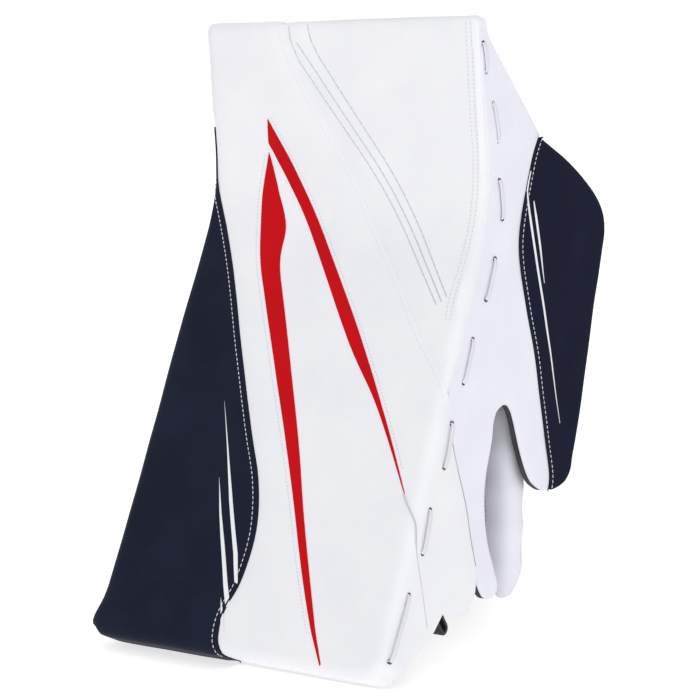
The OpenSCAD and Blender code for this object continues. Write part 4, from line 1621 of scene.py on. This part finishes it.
@dataclass
class GloveForm:
    """The glove's level rings from the cuff down: z, middle x and y, half width and depth."""

    form: BoardForm
    rows: Sequence[tuple[float, float, float, float, float]] = (
        (-45, 22, 66, 50, 37), (-60, 23, 65.5, 47, 34.5), (-80, 25, 64, 44, 31.5), (-100, 27.5, 61, 42, 29.5),
        (-118, 30, 57.5, 42, 28), (-140, 34, 53.5, 45, 26.5), (-165, 39, 48.5, 48, 24),
        (-192, 43.5, 43.5, 48.5, 20), (-214, 45.2, 39.5, 47.8, 16.5), (-226, 45.3, 37.4, 47.9, 15.0),
        (-240, 45.3, 35.6, 47.9, 13.4))
    girth: float = 0.75
    end: float = -225.0
    end_length: float = 10.0
    end_narrowing: float = 5.0

    def __post_init__(self) -> None:
        """Smooths the rings."""
        self.table = curve_through(self.rows, 5)

    def place(self, turn: Array, z: Array, lift: Union[float, Array] = 0.0) -> Array:
        """Places round the form.

        Args:
            turn: Degrees round it, 0 at the thumb side and 90 at the palm.
            z: Heights.
            lift: How far out they lie.

        Returns:
            The places in the row frame.
        """
        turn, z = np.radians(turn), np.asarray(z, float)
        heights, *columns = self.table.T
        middle_x, middle_y, wide, deep = (np.interp(-z, -heights, column) for column in columns)
        over = np.clip((self.end - z) / self.end_length, 0, 1)
        close = np.sqrt(np.maximum(1 - over**2, 0))
        side, front = boxed(turn)
        x = middle_x + (wide + lift - self.end_narrowing * (1 - close)) * side
        y = middle_y + (deep + lift) * close * front
        return self.form.row(np.column_stack([x, y, z]))

    def skin(self, path: Array, lift: Union[float, Array] = 0.0) -> tuple[Array, Array]:
        """A path of (turn, z) laid on the form, with the way the form faces."""
        low, high = (self.place(path[:, 0], path[:, 1], lift + rise) for rise in (0.0, 1.0))
        return low, unit(high - low)

    def sheet(self, name: str, turns: tuple[float, float], heights: tuple[float, float], lift: float,
              hide: float, waves: float = 0.0, cell: float = 3.0) -> Obj:
        """A leather that lies on the form between two turns and two heights.

        Args:
            name: The piece's name.
            turns: Degrees where it starts and ends.
            heights: Its top and its foot.
            lift: Height of its face over the form.
            hide: Its thickness.
            waves: Height of its slow swells.
            cell: Size of its cells.

        Returns:
            The piece.
        """
        across = max(6, int((turns[1] - turns[0]) * self.girth / cell))
        piece, share = Bench.grid(name, across, max(3, int((heights[0] - heights[1]) / cell)))
        turn = turns[0] + (turns[1] - turns[0]) * share[:, 0]
        z = heights[1] + (heights[0] - heights[1]) * share[:, 1]
        flat = np.column_stack([turn * self.girth, z])
        Bench.map_flat(piece, flat)
        Bench.move(piece, self.place(turn, z, lift + waves * swell(flat, 3.0, 26)))
        if turns[1] - turns[0] > 359:
            Bench.edit(piece, lambda: bpy.ops.mesh.remove_doubles(threshold=0.01 * MM))
        return Bench.smooth(Bench.thicken(piece, hide), 45)

    def patch(self, name: str, outline: Array, lift: float, hide: float, cell: float = 3.0) -> Obj:
        """A piece cut to an outline of (turn, z) and laid on the form."""
        flat = outline * (self.girth, 1.0)
        piece = Bench.panel(name, flat, cell, (0.7,))
        flat = Bench.points(piece)[:, :2]
        Bench.map_flat(piece, flat)
        Bench.move(piece, self.place(flat[:, 0] / self.girth, flat[:, 1], lift))
        return Bench.smooth(Bench.thicken(piece, hide), 45)

    def oblong(self, turns: tuple[float, float], heights: tuple[float, float], corner: float,
               inset: float = 0.0) -> Array:
        """A closed outline of (turn, z) with rounded corners of that radius in millimetres."""
        low, high = turns[0] * self.girth + inset, turns[1] * self.girth - inset
        foot, top = heights[1] + inset, heights[0] - inset
        round_ = max(corner - inset, 0.5)
        made = []
        for u, z, start in ((high, top, 0), (low, top, 90), (low, foot, 180), (high, foot, 270)):
            u -= math.copysign(round_, u - (low + high) / 2)
            z -= math.copysign(round_, z - (foot + top) / 2)
            for step in range(5):
                a = math.radians(start + 22.5 * step)
                made.append((u + round_ * math.cos(a), z + round_ * math.sin(a)))
        return np.array(made) / (self.girth, 1.0)

    def sew(self, name: str, path: Array, lift: float, stitch: Stitching = FINE_STITCH,
            thread: Weave = GREY_THREAD_AND_SHADOW_LINE, slot: Slot = Slot.CHARCOAL, on: Body = Body.SHELL) -> None:
        """Sews a row of stitches along a path of (turn, z)."""
        fine = spaced(path * (self.girth, 1.0), 2.0) / (self.girth, 1.0)
        deliver(stitch.row(name, *self.skin(fine, lift)), thread, slot, on=on)


@dataclass
class Hand:
    """The glove's hand, cuff and wrist strap."""

    glove: GloveForm
    trim: Flat = ((9, 1.1), (4, 1.2), (1, 0.7), (-0.8, -0.5), (-1.2, -2.2), (-0.8, -3.9), (0.6, -4.9),
                  (4, -5.2), (9, -5.0), (9, -3.6), (2.6, -3.8), (1.4, -2.2), (2.6, -0.8), (9, -0.3))
    strap_z: tuple[float, float] = (-60, -98)
    strap_lift: float = 4.0

    def build(self) -> None:
        """Makes every piece."""
        glove = self.glove
        back = glove.sheet("hand_back_leather", (180, 360), (-96, -235), 0.2, 1.2, 0.35)
        deliver(back, CHARCOAL_LEATHER, Slot.CHARCOAL, "glove_back")
        palm = glove.sheet("hand_palm_suede", (0, 180), (-96, -235), 0.2, 1.2, 0.35)
        deliver(palm, SUEDE, Slot.CHARCOAL, "glove_palm")
        lining = glove.sheet("hand_lining", (0, 360), (-92, -222), -1.3, 1.4, 0.1, 4.5)
        deliver(lining, KNIT, Slot.KNIT)
        for side, turn in (("thumb", 0.0), ("little", 180.0)):
            line = np.column_stack([np.full(60, turn), np.linspace(-101, -232, 60)])
            piping = Bench.sweep(f"hand_piping_{side}", *glove.skin(line, 0.3), round_section(2.2, 1.9))
            deliver(piping, CHARCOAL_LEATHER, Slot.CHARCOAL)
            for part, gap in (("back", -5.0), ("palm", 5.0)):
                beside = line[:-3] + (gap if turn == 0 else -gap, 0)
                glove.sew(f"hand_stitches_{side}_{part}", beside, 0.6)
        patch = glove.oblong((50, 124), (-152, -209), 11)
        deliver(glove.patch("palm_wear_patch", patch, 1.4, 1.6), PALM_PATCH, Slot.CHARCOAL, "palm_patch")
        inner = glove.oblong((50, 124), (-152, -209), 11, 2.4)
        glove.sew("palm_patch_stitches", closed(inner), 1.5)
        self.cuff()
        self.strap()

    def cuff(self) -> None:
        """The cuff with its lining, its bound mouth and its seam."""
        glove = self.glove
        outer = glove.sheet("cuff_leather", (0, 360), (-47, -101), 0.4, 2.4, 0.1)
        deliver(outer, CHARCOAL_LEATHER, Slot.CHARCOAL, "cuff_shell")
        inner = glove.sheet("cuff_knit", (0, 360), (-47, -99), -2.0, 2.6, 0.25)
        deliver(inner, KNIT, Slot.KNIT, "cuff_lining")
        turns = np.linspace(0, 360, 97)[:-1]
        mouth = np.column_stack([turns, np.full(96, -45.0)])
        trim = Bench.sweep("cuff_trim_tape", *glove.skin(mouth), np.array(self.trim, float), ring=True)
        deliver(trim, NAVY_LEATHER, Slot.NAVY, "cuff_trim")
        around = np.column_stack([np.linspace(0, 360, 120), np.full(120, -52.6)])
        glove.sew("cuff_trim_stitches", around, 1.25, thread=WHITE_THREAD, slot=Slot.NAVY)
        glove.sew("cuff_hem_stitches", around - (0, 46.4), 0.8)

    def strap(self) -> None:
        """The wrist strap with its navy pull end, its anchor and the loop tape that holds it."""
        glove, lift = self.glove, self.strap_lift
        top, foot = self.strap_z
        tape = glove.oblong((6, 82), (top - 3, foot + 3), 4)
        deliver(glove.patch("loop_tape", tape, 1.3, 1.2), LOOP_TAPE, Slot.LOOP, "hook_patch")
        anchor = glove.oblong((177, 204), (top, foot), 3)
        piece = glove.patch("strap_anchor_leather", anchor, lift, 3.8)
        deliver(piece, CHARCOAL_LEATHER, Slot.CHARCOAL, "strap_anchor")
        cross = glove.oblong((181, 200), (top, foot), 2, 3.0)
        glove.sew("anchor_stitches", closed(cross), lift + 0.1, BOLD_STITCH)
        band = glove.oblong((27, 175), (top, foot), 2)
        piece = glove.patch("strap_band", band, lift, 2.4)
        deliver(piece, CHARCOAL_LEATHER, Slot.CHARCOAL, "wrist_strap", on=Body.STRAP)
        hem = glove.oblong((27, 175), (top, foot), 2, 2.6)
        glove.sew("strap_stitches", closed(hem), lift + 0.1, on=Body.STRAP)
        pull = glove.oblong((5, 30), (top + 0.4, foot - 0.4), 8)
        piece = glove.patch("strap_pull", pull, lift + 0.6, 3.2)
        deliver(piece, NAVY_LEATHER, Slot.NAVY, "strap_end", on=Body.STRAP)
        edge = glove.oblong((5, 30), (top + 0.4, foot - 0.4), 8, 2.6)
        glove.sew("pull_stitches", closed(edge), lift + 0.7, BOLD_STITCH, WHITE_THREAD, Slot.NAVY, Body.STRAP)


@dataclass
class Digit:
    """A finger or the thumb: where it is rooted, how it hangs, and its sizes in millimetres."""

    name: str
    form: BoardForm
    root: tuple[float, float, float]
    down: tuple[float, float, float]
    front: tuple[float, float, float]
    radius: float
    base: float
    tip: float
    finish: Leather = CHARCOAL_LEATHER
    slot: Slot = Slot.CHARCOAL
    mouth: Optional[tuple[float, float, float]] = None
    split: float = 0.48
    round_off: float = 1.7
    taper: float = 0.09
    roll_height: float = 0.035
    roll_length: float = 25.0
    root_bend: tuple[float, float] = (-7.0, 9.0)
    joint_bend: float = 9.0
    lead: float = 5.0

    def centre(self, t: Array) -> Array:
        """Places on the digit's middle line, t from its knuckle, in the board's millimetres."""
        t = np.asarray(t, float)
        hung = np.array(self.root) + t[:, None] * unit(np.array(self.down))
        if self.mouth is None:
            return hung
        way = np.array(self.mouth) - np.array(self.root)
        led = np.array(self.root) + np.maximum(-t, 0)[:, None] * unit(way)
        share = np.clip((t + self.lead) / (2 * self.lead), 0, 1)[:, None]
        between = led * (1 - share) + hung * share
        return np.where(t[:, None] < -self.lead, led, np.where(t[:, None] > self.lead, hung, between))

    def fat(self, t: Array) -> Array:
        """The thickness at t as a share of the whole: padded rolls, and a rounded end."""
        whole = self.base + self.tip
        end = self.radius * self.round_off
        past = np.clip((t - (whole - end)) / end, 0, 1)
        rolls = 1 + self.roll_height * np.cos((t - self.base * self.split) * math.tau / self.roll_length)
        slim = 1 - self.taper * np.clip((t - self.base * 0.6) / self.tip, 0, 1)
        return rolls * slim * np.sqrt(np.maximum(1 - past**2.3, 0.004))

    def tube(self, name: str, start: float, stop: float) -> Obj:
        """The leather tube from start to stop."""
        t = np.unique(np.concatenate([np.arange(start, stop, 2.4), [stop]]))
        if stop > self.base + 1:
            t = np.concatenate([t[t < stop - 3], stop - np.array([2.6, 1.5, 0.7, 0.25, 0.0])])
        ups = np.tile(self.front, (len(t), 1))
        section = boxy_section(self.radius * 2, self.radius * 1.96)
        return Bench.sweep(name, self.form.row(self.centre(t)), ups, section, fatness=self.fat(t))

    def way(self, turns: Array) -> Array:
        """The ways out of the digit at angles round it in degrees, 90 at its front."""
        side, front = boxed(np.radians(turns))
        across = unit(np.cross(self.down, self.front))
        return side[:, None] * across + front[:, None] * unit(np.array(self.front))

    def side_path(self, start: float, stop: float, turn: float, lift: float) -> tuple[Array, Array]:
        """A line along the digit at an angle round it, 90 at its front."""
        t = np.arange(start, stop, 2.0)
        way = self.way(np.array([turn]))[0]
        out = (self.radius * self.fat(t) + lift)[:, None]
        return self.form.row(self.centre(t) + way * out), np.tile(unit(way), (len(t), 1))

    def facing(self, name: str, start: float, stop: float) -> Obj:
        """The suede strip on the digit's gripping side."""
        across, down = 8, max(4, int((stop - start) / 3))
        piece, share = Bench.grid(name, across, down)
        t = stop + (start - stop) * share[:, 1]
        way = self.way(128 - 76 * share[:, 0])
        out = (self.radius * self.fat(t) + 0.7)[:, None]
        Bench.map_flat(piece, np.column_stack([share[:, 0] * 20, t]))
        Bench.move(piece, self.form.row(self.centre(t) + way * out))
        middle = self.form.row(self.centre(np.array([(start + stop) / 2])))[0]
        face = piece.data.polygons[len(piece.data.polygons) // 2]
        if face.normal.dot(face.center - Vector(middle)) < 0:
            Bench.edit(piece, bpy.ops.mesh.flip_normals)
        return Bench.smooth(Bench.thicken(piece, 1.0), 45)

    def build(self) -> None:
        """Makes the digit's pieces: the knuckle and tip leathers, the grip suede and its seam stitches."""
        middle = self.base * self.split
        base, tip = f"{self.name}_base", f"{self.name}_tip"
        first = dict(to=base, bend=self.reach(*self.root_bend))
        joint = self.reach(self.base - self.joint_bend, self.base + self.joint_bend)
        second = dict(on=base, to=tip, bend=joint)
        start = -8.0 if self.mouth is None else -math.dist(self.mouth, self.root)
        gusset = ["thumb_gusset"] if self.mouth else []
        upper = self.tube(f"{self.name}_knuckle_leather", start, middle)
        deliver(upper, self.finish, self.slot, base, *gusset, **first)
        lower = self.tube(f"{self.name}_tip_leather", middle, self.base + self.tip)
        deliver(lower, self.finish, self.slot, tip, **second)
        end = self.base + self.tip - self.radius * 1.1
        facing = self.facing(f"{self.name}_grip_suede", middle + 1.5, end)
        deliver(facing, SUEDE, Slot.CHARCOAL, **second)
        for side, turn in (("back", 250), ("grip", 146)):
            path = self.side_path(middle + 2, end + 4, turn, 0.05)
            deliver(FINE_STITCH.row(f"{self.name}_seam_{side}", *path), GREY_THREAD_AND_SHADOW_LINE, self.slot, **second)

    def reach(self, start: float, stop: float) -> tuple[Vector, Vector]:
        """Where a bend starts and ends, in the row frame."""
        along = np.array(self.root) + np.array([start, stop])[:, None] * unit(np.array(self.down))
        return tuple(Vector(p) for p in self.form.row(along))


@dataclass
class Digits:
    """The four fingers and the thumb."""

    form: BoardForm
    knuckle: tuple[float, float] = (36.4, -232.0)
    lean: float = 5.0
    fingers: Sequence[tuple[str, float, float, float, float]] = (
        ("index", 78.5, 12.5, 50, 66), ("middle", 54.2, 11, 50, 63), ("ring", 31.4, 11, 48, 60),
        ("little", 9.6, 10, 42, 50))

    def build(self) -> None:
        """Makes them all."""
        lean = math.radians(self.lean)
        down, front = (0.0, -math.sin(lean), -math.cos(lean)), (0.0, math.cos(lean), -math.sin(lean))
        for name, x, radius, base, tip in self.fingers:
            finger = Digit(name, self.form, (x, *self.knuckle), down, front, radius, base, tip)
            if name == "index":
                # The index finger wears the side hide's tinted copy of the white leather, with its painted
                # shade.
                finger.finish, finger.slot = SHADED_SIDE_LEATHER, Slot.WHITE
                finger.round_off, finger.taper = 2.1, 0.12
            finger.build()
        down, front = (0.0514, 0.1908, -0.9803), (-0.9986, 0.0, -0.0523)
        Digit("thumb", self.form, (76, 88, -152), down, front, 12.5, 44, 46, mouth=(62, 64, -124)).build()


# ---- Stage ----


@dataclass(frozen=True)
class Studio:
    """A pale floor under the object, a white ground behind it and plain soft light."""

    ground: float = 0.66
    glow: float = 0.22
    bounce: float = 0.4
    floor_size: float = 12.0
    floor_gap: float = 0.001
    spread: float = 40.0
    lamps: Sequence[tuple[str, float, tuple[float, float, float]]] = (
        ("key", 0.2, (0.25, -1.0, 0.75)),
        ("fill", 0.25, (1.0, -0.35, 0.5)),
        ("low_fill", 0.55, (0.6, -0.8, 0.2)))

    def shown_rays(self, paint: Paint) -> Value:
        """1 for the rays that show the background: to the camera, off a gloss and through glass."""
        path = paint.node("ShaderNodeLightPath", {})
        rays = ("Is Camera Ray", "Is Glossy Ray", "Is Transmission Ray")
        camera, gloss, glass = (paint.value(path, name) for name in rays)
        return camera.math("MAXIMUM", camera.math("MAXIMUM", camera, gloss), glass)

    def surround(self) -> None:
        """Makes the world: white where it shows, and a soft light everywhere else."""
        world = bpy.data.worlds.new("studio")
        bpy.context.scene.world = world
        paint = Paint(world)
        rays = self.shown_rays(paint)
        plain = paint.node("ShaderNodeBackground", {0: (1, 1, 1, 1), 1: 1.0})
        soft = paint.node("ShaderNodeBackground", {0: (0.97, 0.98, 1, 1), 1: self.ground})
        both = paint.node("ShaderNodeMixShader", {0: rays, 1: soft.outputs[0], 2: plain.outputs[0]})
        paint.node("ShaderNodeOutputWorld", {0: both.outputs[0]})

    def lay_floor(self) -> None:
        """Lays a matt floor that glows a little under the object."""
        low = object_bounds()[0]
        Bench.clear()
        place = (0, 0, low.z - self.floor_gap)
        bpy.ops.mesh.primitive_plane_add(size=self.floor_size, location=place)
        floor = Bench.named("floor")
        paint = Paint(bpy.data.materials.new("floor_white"))
        matt = paint.node("ShaderNodeBsdfDiffuse", {0: (0.8, 0.8, 0.8, 1)})
        strength = self.shown_rays(paint) * self.glow + self.bounce
        glow = paint.node("ShaderNodeEmission", {0: (1, 1, 1, 1), 1: strength})
        both = paint.node("ShaderNodeAddShader", {0: matt.outputs[0], 1: glow.outputs[0]})
        paint.node("ShaderNodeOutputMaterial", {0: both.outputs[0]})
        floor.data.materials.append(paint.owner)
        floor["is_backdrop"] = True

    def build(self) -> None:
        """Makes the world, the floor and the lamps."""
        self.surround()
        self.lay_floor()
        for name, strength, way in self.lamps:
            data = bpy.data.lights.new(name, "SUN")
            data.energy, data.angle = strength, math.radians(self.spread)
            lamp = bpy.data.objects.new(name, data)
            lamp.rotation_mode = "QUATERNION"
            lamp.rotation_quaternion = Vector(way).to_track_quat("Z", "Y")
            bpy.context.scene.collection.objects.link(lamp)
        bpy.context.scene.view_settings.view_transform = "Standard"


class PointReport:
    """How far each named image point lies from its thing, by the vertices that show."""

    def __init__(self, sight: Sight) -> None:
        """Keeps the sight lines, and what has been found."""
        self.sight = sight
        self.found: dict[str, list[Optional[float]]] = {}

    def seen(self, *pieces: Obj) -> Array:
        """The image places of the pieces' vertices."""
        return np.vstack([self.sight.shown(Bench.points(piece)) for piece in pieces])

    def note(self, name: str, place: Sequence[float]) -> None:
        """Writes down how far a thing's image place is from its point, in pixels."""
        point = IMAGE_POINTS[name]
        self.found[name] = [
            None if at is None else round(float(is_at - at), 1) for at, is_at in zip(point, place)]
        LOG.info("%s is off its point by %s px", name, self.found[name])

    def end(self, name: str, piece: Obj, way: tuple[float, float], near: Optional[float] = None) -> None:
        """Notes the place of a piece that lies farthest one way in the image.

        Args:
            name: The image point.
            piece: What the point lies on.
            way: Right and down parts of the way looked.
            near: The farthest from the point that a vertex counts, in pixels.
        """
        places = self.seen(piece)
        if near is not None:
            gaps = np.linalg.norm(places - np.array(IMAGE_POINTS[name]), axis=1)
            places = places[gaps < near] if (gaps < near).any() else places
        self.note(name, places[np.argmax(places @ np.array(way))])

    def stitch(self, name: str, lace: Obj) -> None:
        """Notes the middle of the lace stitch that lies nearest a point."""
        places = self.seen(lace)
        gaps = np.abs(places[:, 1] - IMAGE_POINTS[name][1])
        self.note(name, places[gaps < 9].mean(0))

    def rim(self, name: str, piece: Obj, place: Array) -> None:
        """Notes the finished vertex that stands at a place of the piece's pattern.

        Args:
            name: The image point.
            piece: What the point lies on.
            place: The pattern's place in the row frame.
        """
        gaps = np.linalg.norm(Bench.points(piece) - place, axis=1)
        self.note(name, self.seen(piece)[np.argmin(gaps)])

    def write(self) -> None:
        meshes = [o for o in bpy.context.scene.objects if o.type == "MESH"]
        shown = [o for o in meshes if not o.hide_render and o.name != "floor"]
        places = self.seen(*shown)
        low, high = places.min(0), places.max(0)
        for edge, place in (("left", low), ("right", high), ("top", low), ("bottom", high)):
            self.note(f"object_{edge}", place)


def report_points(sight: Sight, side: ThumbSide) -> None:
    report = PointReport(sight)
    piece = bpy.data.objects
    report.end("long_stripe_apex", piece["long_stripe_leather"], (0, -1))
    report.end("short_stripe_apex", piece["short_stripe_leather"], (0, -1))
    report.end("short_stripe_tip", piece["short_stripe_leather"], (0, 1))
    report.end("navy_bulge", piece["navy_piping"], (1, 0))
    report.end("sliver_head", piece["navy_sliver_1"], (0, -1))
    report.stitch("first_lace_stitch", piece["side_lace_flat"])
    report.stitch("last_lace_stitch", piece["side_lace_flat"])
    report.rim("arch_crown", piece["side_leather"], side.corner(side.arch_edge, 1))
    report.end("thumb_corner", piece["thumb_panel_navy"], (1, 0))
    report.end("thumb_line_head", piece["thumb_line_1"], (0, -1))
    report.rim("tongue_foot", piece["side_leather"], side.corner(side.tongue_edge, -1))
    report.end("index_end", piece["index_tip_leather"], (0, 1))
    report.end("guard_loop", piece["guard_webbing"], (0.4, 0.9))
    report.write()


def main() -> None:
    """Builds the glove's looks in order."""
    logging.basicConfig(level=logging.INFO, format="%(name)s: %(message)s")
    form = BoardForm()
    middle = np.array([0.0, 0.0, -form.length / 2])
    camera = PhotoCamera(Vector(form.row(middle))).make()
    sight = Sight(camera)
    FaceUpholstery(form, sight).build()
    side = ThumbSide(form, sight)
    SideLace(form, side, sight).build(side.build())
    BoardBack(form).build()
    Hand(GloveForm(form)).build()
    Digits(form).build()
    Studio().build()
    report_points(sight, side)


if __name__ == "__main__":
    main()
